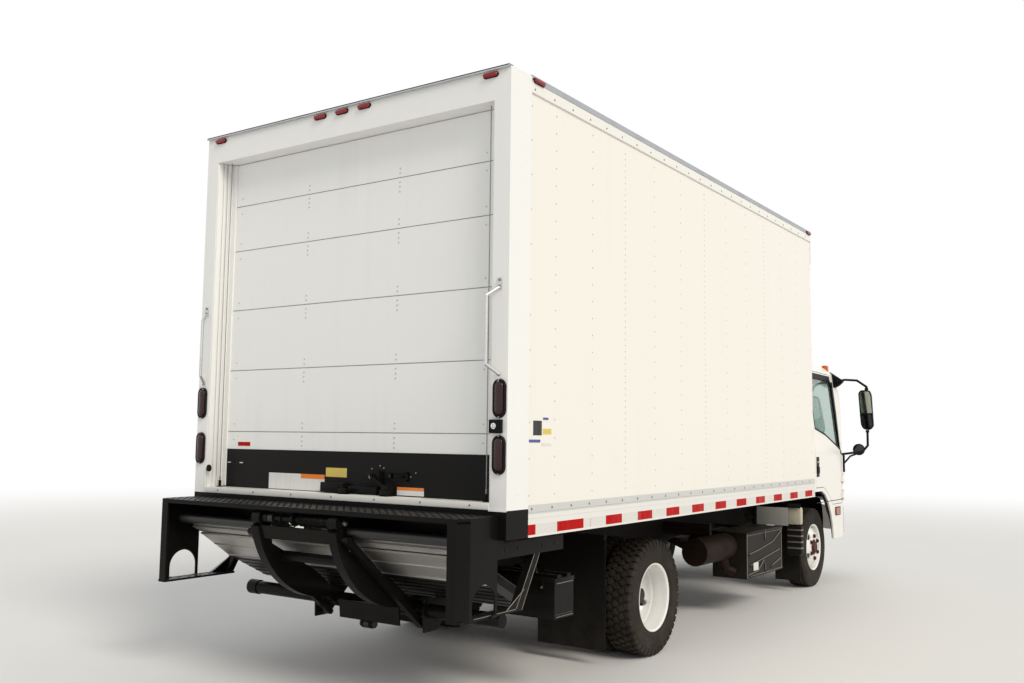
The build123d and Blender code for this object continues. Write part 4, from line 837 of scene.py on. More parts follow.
def hex_nut(bm, spot, out, radius, height, material=0, stud=0.0):
    """A hexagon nut with a chamfered top, and a stud end through it."""
    out, first, second = plane_facing(out)
    rings = [circle(bm, Vector(spot) + out * rise, first, second, size, 6)
             for size, rise in ((radius, 0), (radius, height * 0.85), (radius * 0.86, height))]
    bridge(bm, rings, material=material)
    bm.faces.new(rings[-1]).material_index = material
    if stud:
        tube(bm, [spot, Vector(spot) + out * (height + stud)], radius * 0.5, 12, material)


print("tubes, rivets and nuts ready")

# %% [markdown]
# ## Tyres
# A truck tyre is a rubber ring with a bulged sidewall. The front tyres have ribs with zigzag grooves, which
# can be turned from one profile. The rear tyres are lug tyres: a turned carcass with separate blocks that
# stand on it in staggered rows, and big shoulder lugs that wrap over the corner. The blocks are real
# geometry, because their outline breaks the edge of the tyre.

# %% Tyre sizes and the carcass profile
tyre_radius = 0.386
tyre_half = 0.1075
tread_depth = 0.014
wheel_z = tyre_radius
front_axle_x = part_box("rim_front_right")[0].x / 2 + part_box("rim_front_right")[1].x / 2
rear_axle_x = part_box("rims_rear_right")[0].x / 2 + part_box("rims_rear_right")[1].x / 2
front_wheel_y = 0.8325
outer_wheel_y = 0.9475
inner_wheel_y = 0.6935
print("axles at", round(front_axle_x, 4), round(rear_axle_x, 4))


def side_profile(shoulder_radius):
    """One sidewall from the bead to the shoulder, with its moulded rings."""
    points = [(0.080, 0.2195), (0.092, 0.2200), (0.0965, 0.2275), (0.0985, 0.2360), (0.1010, 0.2372),
              (0.1018, 0.2400), (0.1022, 0.2470), (0.1045, 0.2600), (0.1062, 0.2615), (0.1064, 0.2650),
              (0.1058, 0.2665), (0.1070, 0.2800), (0.1073, 0.3000), (0.1068, 0.3180), (0.1058, 0.3300),
              (0.1062, 0.3316), (0.1055, 0.3350), (0.1042, 0.3362), (0.1020, 0.3470)]
    return points + [(0.0985, shoulder_radius - 0.008), (0.0930, shoulder_radius)]


def mirrored(profile):
    """A profile of (outward, radius) for the other side of a wheel."""
    return [(-out, radius) for out, radius in reversed(profile)]


def tread_radius(out, depth=0.0):
    """The tread is slightly crowned: a little lower at the shoulders."""
    return tyre_radius - 0.0045 * (out / tyre_half) ** 2 - depth


print("the tread drops", round((tyre_radius - tread_radius(0.09)) * 1000, 1), "mm to its shoulders")

# %% Front tyre
def ribbed_tyre(bm, centre, side):
    """A steering tyre: straight ribs parted by four zigzag grooves."""
    half = side_profile(0.371)
    groove_at = (0.058, 0.021, -0.021, -0.058)
    crown = [(0.0900, tread_radius(0.09))]
    for groove in groove_at:
        for shift, depth in ((0.0055, 0), (0.0040, tread_depth), (-0.0040, tread_depth), (-0.0055, 0)):
            crown.append((groove + shift, tread_radius(groove, depth)))
    crown.append((-0.0900, tread_radius(0.09)))
    profile = half + crown + mirrored(half)
    first, last = len(half) + 1, len(half) + len(crown) - 1
    lathe(bm, profile, centre, side, steps=120,
          wobble=lambda step, at: (0.0022 if step % 2 else -0.0022) if first <= at < last else 0.0)


print("a front tyre is turned from one profile")

# %% Blocks and lugs of a rear tyre
def tread_block(bm, centre, side, outline, turn, foot):
    """One rubber block: an outline of (outward, along) points, stood on the carcass."""
    rings = []
    middle = [sum(p[i] for p in outline) / len(outline) for i in (0, 1)]
    for rise, shrink in ((0.0, 1.04), (0.9, 0.98), (1.0, 0.9)):
        ring = []
        for out, along in outline:
            out = middle[0] + (out - middle[0]) * shrink
            along = middle[1] + (along - middle[1]) * shrink
            radius = foot + (tread_radius(out) - foot) * rise
            ring.append(about_axle(bm, centre, side, out, radius, turn + along / tyre_radius))
        rings.append(ring)
    bridge(bm, rings)
    bm.faces.new(rings[-1])


def shoulder_lug(bm, centre, side, turn, width, hand):
    """A lug that starts on the tread and wraps down over the shoulder."""
    section = [(0.070, 0.368), (0.070, tread_radius(0.07)), (0.094, tread_radius(0.094)), (0.1010, 0.3760),
               (0.1052, 0.3560), (0.1056, 0.3400), (0.1015, 0.3390), (0.0960, 0.3600)]
    rings = []
    middle = (0.088, 0.362)
    for share, shrink in ((-0.5, 0.97), (-0.42, 1.0), (0.42, 1.0), (0.5, 0.97)):
        ring = []
        for out, radius in section:
            out = middle[0] + (out - middle[0]) * shrink
            radius = middle[1] + (radius - middle[1]) * shrink
            ring.append(about_axle(bm, centre, side * hand, out, radius, turn + width * share / tyre_radius))
        rings.append(ring)
    bridge(bm, rings)
    cap(bm, rings)


tread_pitches = 44
pitch = 2 * math.pi * tyre_radius / tread_pitches
print("the rear tread repeats", tread_pitches, "times, every", round(pitch * 1000, 1), "mm")

# %% Rear tyre
def lug_tyre(bm, centre, side):
    """A drive tyre: carcass, three rows of blocks and two rows of shoulder lugs."""
    half = side_profile(0.3690)
    lathe(bm, half + [(0.05, 0.3715), (0, 0.372), (-0.05, 0.3715)] + mirrored(half), centre, side)
    middle = [(-0.019, -0.011), (0.002, -0.020), (0.019, -0.012), (0.019, 0.010), (-0.002, 0.020),
              (-0.019, 0.012)]
    between = [(-0.018, -0.015), (0.006, -0.020), (0.019, -0.006), (0.018, 0.014), (-0.006, 0.020),
               (-0.019, 0.007)]
    for step in range(tread_pitches):
        turn = 2 * math.pi * step / tread_pitches
        tread_block(bm, centre, side, middle, turn, 0.3700)
        for hand in (1, -1):
            row = [(hand * (0.045 + out * hand), along) for out, along in between]
            tread_block(bm, centre, side, row, turn + hand * math.pi / tread_pitches, 0.3690)
            shoulder_lug(bm, centre, side, turn + (0.25 + 0.5 * (hand > 0)) * 2 * math.pi / tread_pitches,
                         pitch * 0.66, hand)


print("a rear tyre has", 5 * tread_pitches, "blocks and lugs")

# %% Four tyre pieces
for word, side in (("left", 1), ("right", -1)):
    bm = bmesh.new()
    ribbed_tyre(bm, (front_axle_x, side * front_wheel_y, wheel_z), side)
    made = piece(f"front_tyre_{word}", bm, f"wheel_front_{word}", "tyre", tyre_rubber)
    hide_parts(f"tyre_front_{word}")
    bm = bmesh.new()
    for wheel_y in (outer_wheel_y, inner_wheel_y):
        lug_tyre(bm, (rear_axle_x, side * wheel_y, wheel_z), side)
    made = piece(f"rear_tyres_{word}", bm, f"wheels_rear_{word}", "tyre", tyre_rubber)
    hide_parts(f"tyres_rear_{word}")

# %% [markdown]
# ## Wheels
# The rims are pressed steel discs welded into rolled rims. A profile turned about the axle gives the lip,
# the bead seat, the drop centre and the dished disc. The hand holes are cut with a boolean. Front and rear
# wheels are the same part, turned round: the front disc bulges outward and the outer rear disc lies deep.

# %% Wheel profiles and hand holes
hand_holes = 5
hand_hole_ring = 0.170
lip_radius = 0.2265
nut_ring = 0.1080


def ring_spots(centre, out, radius, count, first_angle):
    """Points in a ring about the axle, moved along it by out."""
    turns = [first_angle + 2 * math.pi * k / count for k in range(count)]
    return [Vector(centre) + Vector((radius * math.cos(turn), out, radius * math.sin(turn)))
            for turn in turns]


def cut_holes(made, centre, ring, hole_radius, count, phase, y_reach):
    """Cuts round holes through a wheel disc, in a ring about the axle."""
    bm = bmesh.new()
    for spot in ring_spots(centre, 0, ring, count, phase):
        tube(bm, [(spot.x, y, spot.z) for y in y_reach], hole_radius, 28)
    bmesh.ops.recalc_face_normals(bm, faces=bm.faces)
    mesh = bpy.data.meshes.new("cutter")
    bm.to_mesh(mesh)
    bm.free()
    cutter = bpy.data.objects.new("cutter", mesh)
    bpy.context.scene.collection.objects.link(cutter)
    change = made.modifiers.new("holes", "BOOLEAN")
    change.object = cutter
    change.solver = "EXACT"
    cut_mesh = bpy.data.meshes.new_from_object(made.evaluated_get(bpy.context.evaluated_depsgraph_get()))
    made.modifiers.clear()
    old = made.data
    made.data = cut_mesh
    bpy.data.meshes.remove(old)
    bpy.data.objects.remove(cutter)
    cut_mesh.shade_smooth()
    cut_mesh.set_sharp_from_angle(angle=math.radians(32))


def rim_outline(disc, lip=lip_radius):
    """A rim with both lips; disc is the outer face's profile from the barrel to the axle and back."""
    lip_edge = [(0.0800, 0.2185), (0.0890, 0.2190), (0.0925, lip - 0.004), (0.0950, lip),
                (0.0985, lip - 0.001), (0.0990, lip - 0.0045), (0.0945, 0.2170), (0.0900, 0.2115),
                (0.0700, 0.2065)]
    outer = lip_edge + [(0.0400, 0.2045), (0.0280, 0.2000)]
    inner = [(-0.0400, 0.2000), (-0.0700, 0.2045)] + mirrored(lip_edge[:-1])
    return outer + disc + inner + [(-0.0600, 0.2130), (0.0600, 0.2130)]


front_disc = [(0.0300, 0.1960), (0.0480, 0.1925), (0.0660, 0.1850), (0.0820, 0.1690), (0.0930, 0.1510),
              (0.0980, 0.1380), (0.1000, 0.1320), (0.1000, 0.0700), (0.0880, 0.0700), (0.0880, 0.1330),
              (0.0810, 0.1460), (0.0700, 0.1620), (0.0540, 0.1780), (0.0400, 0.1860), (0.0200, 0.1930)]
deep_disc = [(-0.0150, 0.1985), (-0.0200, 0.1950), (-0.0320, 0.1925), (-0.0520, 0.1890), (-0.0700, 0.1820),
             (-0.0880, 0.1640), (-0.0960, 0.1470), (-0.1000, 0.1350), (-0.1020, 0.1300), (-0.1020, 0.0550),
             (-0.1140, 0.0550), (-0.1140, 0.1310), (-0.1060, 0.1480), (-0.0980, 0.1660), (-0.0780, 0.1860),
             (-0.0560, 0.1930)]
print("wheel profiles:", len(rim_outline(front_disc)), "and", len(rim_outline(deep_disc)), "points")

# %% [markdown]
# Rust and old red paint show round the nuts and the hub of the front wheels, and the rear hub is black.

# %% Hub finishes
hub_red, tree, shader = finish_of("hub rust", (0.07, 0.016, 0.012), 0.6, shine=0.2)
worn = place_group(tree, chips, Paint=(0.065, 0.014, 0.011, 1), Bare=(0.1, 0.04, 0.022, 1), Amount=0.9,
                   Chip_size=60.0)
colour_by(tree, shader, worn.outputs["Color"], worn.outputs["Mask"], 0.5, 0.85)
shape = place_group(tree, relief, Wave_size=30.0, Wave=0.3, Grain_size=500.0, Grain=0.5)
bump(tree, shader, shape.outputs["Height"], 0.4, 0.001)
hub_black = enamel("hub black", (0.012, 0.011, 0.011), 0.5, chip=0.5, dust=0.2, clean_above=3.0)
print("hub finishes:", hub_red.name, hub_black.name)

# %% Front rims, hubs and nuts
for word, side in (("left", 1), ("right", -1)):
    centre = (front_axle_x, side * front_wheel_y, wheel_z)
    bm = bmesh.new()
    lathe(bm, rim_outline(front_disc), centre, side)
    made = piece(f"front_rim_{word}", bm, f"wheel_front_{word}", "wheel_white", wheel_white)
    cut_holes(made, centre, hand_hole_ring - 0.003, 0.036, hand_holes, math.radians(66),
              sorted((centre[1] - side * 0.02, centre[1] + side * 0.2)))
    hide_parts(f"rim_front_{word}")

    bm = bmesh.new()
    lathe(bm, [(0.0400, 0.0500), (0.0400, 0.0760), (0.1000, 0.0760), (0.1040, 0.0720), (0.1060, 0.0600),
               (0.1160, 0.0540), (0.1195, 0.0500), (0.1200, 0.0400), (0.1180, 0.0380), (0.1180, 0.0001),
               (0.0400, 0.0001)], centre, side, steps=48)
    for spot in ring_spots(centre, side * 0.1003, nut_ring, 6, math.radians(30)):
        raised = spot + Vector((0, side * 0.004, 0))
        tube(bm, [spot, raised], 0.0210, 20)
        hex_nut(bm, raised, (0, side, 0), 0.0185, 0.0140, stud=0.003)
    lathe(bm, [(0.0845, 0.0720), (0.0845, 0.1310), (0.0775, 0.1440), (0.0665, 0.1600), (0.0510, 0.1755),
               (0.0370, 0.1830), (0.0050, 0.1850), (-0.0500, 0.1850), (-0.0500, 0.0600)],
          centre, side, steps=64, material=1)
    piece(f"front_hub_{word}", bm, f"wheel_front_{word}", "wheel_white", hub_red, hub_black)

# %% Rear rims, hubs and drums
for word, side in (("left", 1), ("right", -1)):
    bm = bmesh.new()
    outer = (rear_axle_x, side * outer_wheel_y, wheel_z)
    inner = (rear_axle_x, side * inner_wheel_y, wheel_z)
    lathe(bm, rim_outline(deep_disc), outer, side)
    lathe(bm, rim_outline(mirrored(deep_disc)), inner, side)
    made = piece(f"rear_rims_{word}", bm, f"wheels_rear_{word}", "wheel_white", wheel_white)
    cut_holes(made, outer, hand_hole_ring - 0.006, 0.030, hand_holes, math.radians(48),
              sorted((outer[1] - side * 0.3, outer[1] + side * 0.05)))
    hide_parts(f"rims_rear_{word}")

    bm = bmesh.new()
    lathe(bm, [(-0.1000, 0.0300), (-0.1000, 0.0840), (-0.0940, 0.0880), (-0.0820, 0.0860), (-0.0740, 0.0600),
               (-0.0200, 0.0540), (-0.0020, 0.0500), (0.0020, 0.0440), (0.0020, 0.0001), (-0.1000, 0.0001)],
          outer, side, steps=48)
    for spot in ring_spots(outer, -side * 0.1018, nut_ring, 6, 0.0):
        hex_nut(bm, spot, (0, side, 0), 0.0200, 0.0240, stud=0.010)
    lathe(bm, [(-0.2360, 0.0300), (-0.2360, 0.1480), (-0.1680, 0.1500), (-0.1560, 0.1460), (-0.1530, 0.0300)],
          outer, side, steps=64)
    lathe(bm, [(-0.1300, 0.1000), (-0.1300, 0.1880), (-0.1340, 0.1880), (-0.1340, 0.1000)],
          outer, side, steps=64)
    piece(f"rear_hub_{word}", bm, f"wheels_rear_{word}", "chassis_black", hub_black)

# %% [markdown]
# ## Details of the body
# The body is sheet aluminium riveted to posts and rails. Its rivets, its reflective tape and its lamps are
# small, so they are built here. These are the places they hang on, in metres.

# %% Places on the body
rear_face = -3.370
front_face = 1.610
body_half = 1.219
wall_half = 1.212
roof_top = 3.398
rail_low = 0.934
rail_high = 1.099
door_face = -3.260
kick_face = -3.264
sill_top = 1.107
deck_top = 1.055
print("body is", round(front_face - rear_face, 3), "m long")

# %% Colours of labels, tape and small fittings
def print_and_shade(name, colour, rough=0.45):
    """Ink or film on a label, or a flat painted shade: nearly flat, with a little dirt so that it isn't one
    plain colour.
    """
    material, tree, shader = finish_of(name, colour, rough, shine=0.25)
    dirty = place_group(tree, rain_streaks, Paint=(*colour, 1), Amount=0.35, Width=30.0)
    colour_by(tree, shader, dirty.outputs["Color"], dirty.outputs["Mask"], rough, 0.8)
    return material


def reflective(name, colour):
    """Prismatic tape: small cells under a clear film."""
    material, tree, shader = finish_of(name, colour, 0.45, shine=0.05)
    spot = tree.nodes.new("ShaderNodeTexCoord")
    cells = tree.nodes.new("ShaderNodeTexVoronoi")
    cells.inputs["Scale"].default_value = 260.0
    tree.links.new(spot.outputs["Object"], cells.inputs["Vector"])
    grime = place_group(tree, rain_streaks, Paint=(*colour, 1), Amount=0.3, Width=40.0)
    shade = mix_colours(tree, ramp(tree, cells.outputs["Distance"], 0.2, 0.7, 0.0, 0.35),
                        grime.outputs["Color"], (*[c * 0.6 for c in colour], 1))
    tree.links.new(shade, shader.inputs["Base Color"])
    bump(tree, shader, cells.outputs["Distance"], 0.15, 0.0004)
    return material


tape_red = reflective("red tape", (0.5, 0.004, 0.003))
tape_white = reflective("white tape", (0.78, 0.76, 0.72))
label_white = print_and_shade("label white", (0.72, 0.72, 0.7))
label_orange = print_and_shade("label orange", (0.8, 0.22, 0.02))
label_yellow = print_and_shade("label yellow", (0.72, 0.55, 0.12))
label_blue = print_and_shade("label blue", (0.08, 0.11, 0.32))
label_dark = print_and_shade("label dark", (0.03, 0.03, 0.03))
rivet_steel = bare_metal("rivet steel", (0.3, 0.3, 0.31), (0.12, 0.12, 0.12), 0.45, 0.3, 0.1, 90.0)
print("labels are blank: only their colours are kept")

# %% [markdown]
# ### Rivets
# Wall rivets sit in columns over the posts, 100 mm apart, and close together where two sheets overlap. The
# rails carry a rivet every 200 mm.

# %% Wall rivets
def rows(low, high, spacing):
    """Heights from low up to high, one spacing apart."""
    return [low + spacing * n for n in range(math.ceil((high - low) / spacing))]


bm = bmesh.new()
first_row = rail_high + 0.05
columns = [(0.214, 0.19)] + [(0.465 + 0.41 * n, 0.038 if n % 3 == 2 else 0.1) for n in range(11)]
columns.append((4.955, 0.19))
for side in (-1, 1):
    for forward, spacing in columns:
        for height in rows(first_row, roof_top - 0.13, spacing):
            rivet(bm, (rear_face + forward, side * wall_half, height), (0, side, 0), 0.0056, 0.0026, 8)
for y in [-1.1 + 0.44 * n for n in range(6)]:
    for height in rows(first_row, roof_top - 0.4, 0.1):
        rivet(bm, (front_face, y, height), (1, 0, 0), 0.0056, 0.0026, 8)
# The rivet heads take a darker colour than the wall: painted shade round each head.
rivet_painted_shade = print_and_shade("rivet painted shade", (0.6, 0.57, 0.51))
piece("wall_rivets", bm, "chassis", "body_white", rivet_painted_shade)

# %% Rail rivets
bm = bmesh.new()
for side in (-1, 1):
    for n in range(24):
        x = rear_face + 0.232 + 0.2 * n
        rivet(bm, (x, side * body_half, rail_high - 0.02), (0, side, 0), 0.0075, 0.003, 10)
        rivet(bm, (x, side * body_half, roof_top - 0.065), (0, side, 0), 0.0065, 0.003, 10)
    for n, low in ((0, 0.955), (1, 0.97), (2, 0.985)):
        rivet(bm, (rear_face + 0.845, side * body_half, low), (0, side, 0), 0.004, 0.0022, 8)
    for height in [1.16 + 0.19 * n for n in range(12)]:
        rivet(bm, (rear_face + 0.1, side * body_half, height), (0, side, 0), 0.0045, 0.002, 8, 1)
piece("rail_rivets", bm, "chassis", "rail_aluminium", rivet_steel, frame_white)

# %% [markdown]
# ### Rails
# The lower rail has a bright lip under it and two raised lines along its face. The roof rail carries a grey
# cove along its top.

# %% Rail lips and lines
bm = bmesh.new()
for side in (-1, 1):
    for low, high, out, bevel, which in ((1.062, 1.068, 0.003, 0.0008, 0), (1.030, 1.033, 0.002, 0.0008, 0),
                                         (rail_low, rail_low + 0.007, 0.004, 0.0008, 0),
                                         (3.3075, 3.3115, 0.002, 0.0005, 0),
                                         (cove_low, cove_low + 0.005, 0.0035, 0.0008, 1)):
        side_slab(bm, side, (rear_face + 0.2, body_half - 0.001, low), (front_face, body_half + out, high),
                  bevel, which)
piece("rail_lines", bm, "chassis", "rail_aluminium", rail_white, rail_metal)

# %% Reflective tape along both lower rails
film = 0.0007
bm = bmesh.new()
tape_red_runs = [(0.2, 0.27), (0.483, 0.767)] + [(1.026 + 0.408 * n, 1.226 + 0.408 * n) for n in range(10)]
for side in (-1, 1):
    last = 0.2
    for start, end in tape_red_runs + [(4.97, 4.97)]:
        for low, high, colour in ((last, start, 1), (start, end, 0)):
            if high - low > 0.01:
                side_slab(bm, side, (rear_face + low, body_half, 0.946),
                          (rear_face + high, body_half + film, 0.999), 0, colour)
        last = end
piece("reflective_tape", bm, "chassis", "lamp_red", tape_red, tape_white)

# %% [markdown]
# ### The rear frame
# A drip lip shelters the header. Inside the opening a track runs up each side of the door; the door's
# rollers run in it and its rivets show. The sill is a bright aluminium strip.

# %% Drip lip, tracks and sill
bm = bmesh.new()
slab(bm, (rear_face - 0.016, -body_half, roof_top - 0.004), (rear_face + 0.02, body_half, roof_top + 0.003),
     0.001, 1)
slab(bm, (rear_face - 0.016, -body_half, roof_top - 0.012), (rear_face - 0.013, body_half, roof_top + 0.003),
     0.0008, 1)
for side in (-1, 1):
    for inner, outer, depth in ((1.046, 1.082, 0.012), (1.082, 1.086, 0.05), (1.098, 1.102, 0.07)):
        side_slab(bm, side, (door_face - depth, inner, sill_top + 0.01), (door_face - 0.0005, outer, 3.221),
                  0.0008)
    side_slab(bm, side, (rear_face + 0.004, 1.108, sill_top), (door_face, 1.1155, 3.2235), 0.001)
    for height in rows(1.2, 3.18, 0.098):
        rivet(bm, (door_face - 0.012, side * 1.074, height), (-1, 0, 0), 0.004, 0.002, 8)
slab(bm, (rear_face - 0.003, -1.112, 1.083), (rear_face + 0.106, 1.112, sill_top + 0.009), 0.002, 1)
slab(bm, (rear_face - 0.0005, -1.2185, 1.076), (rear_face - 0.004, -1.11, 1.083), 0.001)
for n in range(7):
    rivet(bm, (rear_face - 0.003, -0.99 + 0.33 * n, 1.1), (-1, 0, 0), 0.006, 0.003, 10, 2)
piece("opening_trim", bm, "chassis", "rail_aluminium", frame_white, rail_metal, rivet_steel)

# %% Door rivets, reflector and blank labels
bm = bmesh.new()
joints = (1.467, 1.858, 2.249, 2.640, 2.938)
# The door rivets take the same darker colour: painted shade round each head.
for y, radius, tall, rises in ((0.37, 0.0062, 0.0032, (-0.082, -0.054, -0.026, 0.026, 0.054)),
                               (0.99, 0.0055, 0.003, (-0.05, 0.05))):
    for side in (1, -1):
        for joint in joints:
            for rise in rises:
                rivet(bm, (door_face, side * y, joint + rise), (-1, 0, 0), radius, tall, 10)
# Thin dark strips over the panel joints: painted shade in the grooves between the panels.
for joint in joints:
    slab(bm, (door_face - 0.0006, -1.106, joint - 0.0013), (door_face, 1.106, joint + 0.0013), 0, 6)
slab(bm, (door_face - 0.002, 0.833, 1.377), (door_face, 0.948, 1.402), 0.0006, 1)
for y in (0.905, 1.02):
    slab(bm, (kick_face - 0.003, y - 0.016, 1.268), (kick_face, y + 0.016, 1.274), 0.001, 2)
for low, high, colour in (((0.165, 1.12), (0.645, 1.217), 3), ((0.165, 1.19), (0.364, 1.217), 4),
                          ((-0.014, 1.207), (0.155, 1.26), 5), ((-0.596, 1.122), (-0.402, 1.167), 3),
                          ((-0.596, 1.15), (-0.402, 1.167), 4)):
    slab(bm, (kick_face - (0.0012 if colour == 4 else 0.0008), low[0], low[1]),
         (kick_face, high[0], high[1]), 0, colour)
joint_painted_shade = print_and_shade("door joint", (0.17, 0.17, 0.16))
piece("door_fittings", bm, "chassis", "door_white", rivet_painted_shade, tape_red, bright_metal, label_white,
      label_orange, label_yellow, joint_painted_shade)

# %% Blank labels on the side, near the rear corner
bm = bmesh.new()
for side in (-1, 1):
    for low_x, high_x, low, high, colour in ((0.25, 0.335, 1.462, 1.54, 0), (0.345, 0.40, 1.545, 1.558, 1),
                                             (0.345, 0.43, 1.468, 1.498, 2), (0.20, 0.32, 1.424, 1.44, 1),
                                             (0.33, 0.43, 1.405, 1.42, 3)):
        side_slab(bm, side, (rear_face + low_x, wall_half, low),
                  (rear_face + high_x, wall_half + film, high), 0, colour)
piece("side_labels", bm, "chassis", "body_white", label_dark, label_blue, label_yellow, label_white)

# %% [markdown]
# ## Lamps on the rear frame
# The tail lamps are long ovals: a rubber grommet holds a dark red lens with a domed face and fine flutes.
# The header and side lamps are small red boxes in dark bases. They replace the plain solids of the frame.

# %% Tail lamps
def oval(half_wide, half_tall, steps=10):
    """Points of a long oval with straight sides, anticlockwise."""
    points = []
    straight = half_tall - half_wide
    for end in (1, -1):
        for n in range(steps + 1):
            turn = math.pi * n / steps + (0 if end > 0 else math.pi)
            points.append((half_wide * math.cos(turn), end * straight + half_wide * math.sin(turn)))
    return points


def layered(bm, half_wide, half_tall, centre, wide_way, tall_way, out, layers, material=0, steps=10):
    """Stacks long ovals outward: each layer is (size offset, rise)."""
    rings = [[bm.verts.new(centre + wide_way * a + tall_way * u + out * rise)
              for a, u in oval(half_wide + grow, half_tall + grow, steps)] for grow, rise in layers]
    bridge(bm, rings, material=material)
    bm.faces.new(rings[-1]).material_index = material


back = Vector((-1, 0, 0))
across = Vector((0, 1, 0))
upright = Vector((0, 0, 1))
bm = bmesh.new()
for side in (-1, 1):
    for low in (1.260, 1.548):
        middle = Vector((rear_face, side * 1.172, low + 0.1))
        layered(bm, 0.040, 0.100, middle, across, upright, back,
                ((0, 0), (0, 0.010), (-0.0015, 0.0125), (-0.006, 0.0125), (-0.0095, 0.010)))
        layered(bm, 0.027, 0.087, middle, across, upright, back,
                ((0, 0.009), (-0.001, 0.0135), (-0.005, 0.017), (-0.014, 0.0195), (-0.024, 0.0205)), 1)
        for end in (-1, 1):
            rivet(bm, middle + back * 0.0125 + upright * end * 0.0955, back, 0.003, 0.0015, 8, 2)
tail_lamps = piece("tail_lamps", bm, "chassis", "lamp_red", hose_rubber, tail_red, bright_metal, crease=40)

# %% Header and side marker lamps
def marker(bm, middle, wide, tall, out, along, depth):
    """A small lamp: a dark base and a red cover, both with rounded ends."""
    base = ((0, 0), (0, depth * 0.35), (-0.002, depth * 0.42))
    cover = ((-0.003, depth * 0.3), (-0.004, depth * 0.75), (-0.007, depth * 0.95), (-0.011, depth))
    for which, layers in enumerate((base, cover)):
        layered(bm, tall / 2, wide / 2, middle, upright, along, out, layers, which, 6)


bm = bmesh.new()
for y in (-1.09, -0.18, 0.0, 0.18, 1.09):
    marker(bm, Vector((rear_face, y, 3.365)), 0.1, 0.031, back, across, 0.0195)
for side in (-1, 1):
    for x in (rear_face + 0.265, front_face - 0.065):
        marker(bm, Vector((x, side * body_half, 3.382)), 0.11, 0.03, Vector((0, side, 0)), -back, 0.0175)
marker_lamps = piece("marker_lamps", bm, "chassis", "lamp_red", trim_plastic, marker_red, crease=25)
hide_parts("body_lamps")
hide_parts("body_lamps")

# %% Key switch, cargo lamp, and the pads of the grab handles
bm = bmesh.new()
slab(bm, (rear_face - 0.024, -1.193, 1.470), (rear_face, -1.119, 1.540), 0.004)
slab(bm, (rear_face - 0.027, -1.188, 1.476), (rear_face - 0.023, -1.124, 1.534), 0.0015)
for radius, rise in ((0.0155, 0.031), (0.0105, 0.038)):
    tube(bm, [(rear_face - 0.02, -1.154, 1.507), (rear_face - rise, -1.154, 1.507)], radius, 24, 1)
slab(bm, (rear_face - 0.046, -1.1575, 1.496), (rear_face - 0.036, -1.1505, 1.518), 0.001, 1)
for radius, rise in ((0.0215, 0.008), (0.015, 0.012)):
    tube(bm, [(rear_face, 1.082, 1.234), (rear_face - rise, 1.082, 1.234)], radius, 28)
for side in (-1, 1):
    for low, high in ((1.722, 1.782), (2.213, 2.273)):
        side_slab(bm, side, (rear_face - 0.006, 1.152, low), (rear_face, 1.178, high), 0.002, 2)
        for height in (low + 0.014, high - 0.014):
            hex_nut(bm, (rear_face - 0.006, side * 1.165, height), (-1, 0, 0), 0.0078, 0.006, 3)
piece("rear_fittings", bm, "chassis", "gate_black", trim_plastic, bright_metal, zinc_metal, rivet_steel)

# %% [markdown]
# ## Door latch and lift cables
# The door is lifted by two cables that run beside it. Its latch is a heavy black slide bolt with a hanging
# lever. The solid model has plain blocks there, and these pieces stand in for them.

# %% Cables and their anchors
bm = bmesh.new()
for side in (-1, 1):
    tube(bm, [(-3.31, side * 1.05, 1.116), (-3.31, side * 1.05, 3.2235)], 0.0028, 8)
    slab(bm, (-3.326, side * 1.05 - 0.011, 1.1165), (-3.264, side * 1.05 + 0.011, 1.122), 0.001, 1)
    slab(bm, (-3.317, side * 1.05 - 0.006, 1.122), (-3.303, side * 1.05 + 0.006, 1.158), 0.002, 1)
    tube(bm, [(-3.31, side * 1.05, 1.158), (-3.31, side * 1.05, 1.182)], 0.0048, 10)
cables = piece("door_cables", bm, "chassis", "gate_black", rivet_steel, gate_enamel)

# %% Latch
face = kick_face
latch_plates = {
    "back plate": ((0.006, -0.300, 1.119), (0, 0.155, 1.178), 0.002),
    "lock case": ((0.052, -0.035, 1.119), (0, 0.149, 1.178), 0.005),
    "case cover": ((0.058, 0.0, 1.130), (0.050, 0.110, 1.165), 0.003),
    "slide bolt": ((0.034, -0.278, 1.122), (0.004, -0.035, 1.162), 0.004),
    "lever plate": ((0.030, -0.292, 1.160), (0, -0.200, 1.252), 0.004),
    "middle foot": ((0.084, -0.085, 1.1076), (0, -0.025, 1.124), 0.002),
    "middle catch": ((0.084, -0.085, 1.1076), (0.066, -0.025, 1.150), 0.003),
    "end foot": ((0.084, -0.400, 1.1076), (0, -0.345, 1.124), 0.002),
    "end catch": ((0.084, -0.400, 1.1076), (0.066, -0.345, 1.150), 0.003),
    "lever end": ((0.062, -0.388, 1.122), (0.036, -0.334, 1.176), 0.006),
    "lever tongue": ((0.058, -0.378, 1.1195), (0.040, -0.345, 1.130), 0.003),
    "staple top": ((0.012, -0.486, 1.240), (0, -0.353, 1.250), 0.002),
    "staple foot": ((0.012, -0.486, 1.200), (0, -0.353, 1.210), 0.002),
    "staple left": ((0.012, -0.365, 1.200), (0, -0.353, 1.250), 0.002),
    "staple right": ((0.012, -0.486, 1.200), (0, -0.474, 1.250), 0.002),
    "staple pin": ((0.020, -0.450, 1.219), (0.002, -0.390, 1.231), 0.003),
}
bm = bmesh.new()
for low, high, bevel in latch_plates.values():
    slab(bm, (face - low[0], low[1], low[2]), (face - high[0], high[1], high[2]), bevel)
tube(bm, [(face - 0.028, -0.243, 1.22), (face - 0.044, -0.243, 1.22)], 0.02, 24)
hex_nut(bm, (face - 0.044, -0.243, 1.22), (-1, 0, 0), 0.012, 0.008, 1)
prism(bm, [(-0.012, -0.008), (0.012, -0.008), (0.012, 0.008), (-0.012, 0.008)], (face - 0.05, -0.243, 1.225),
      (face - 0.052, -0.36, 1.162), (0, 0.4, 0.9), (1, 0, 0), 0, 0.003)
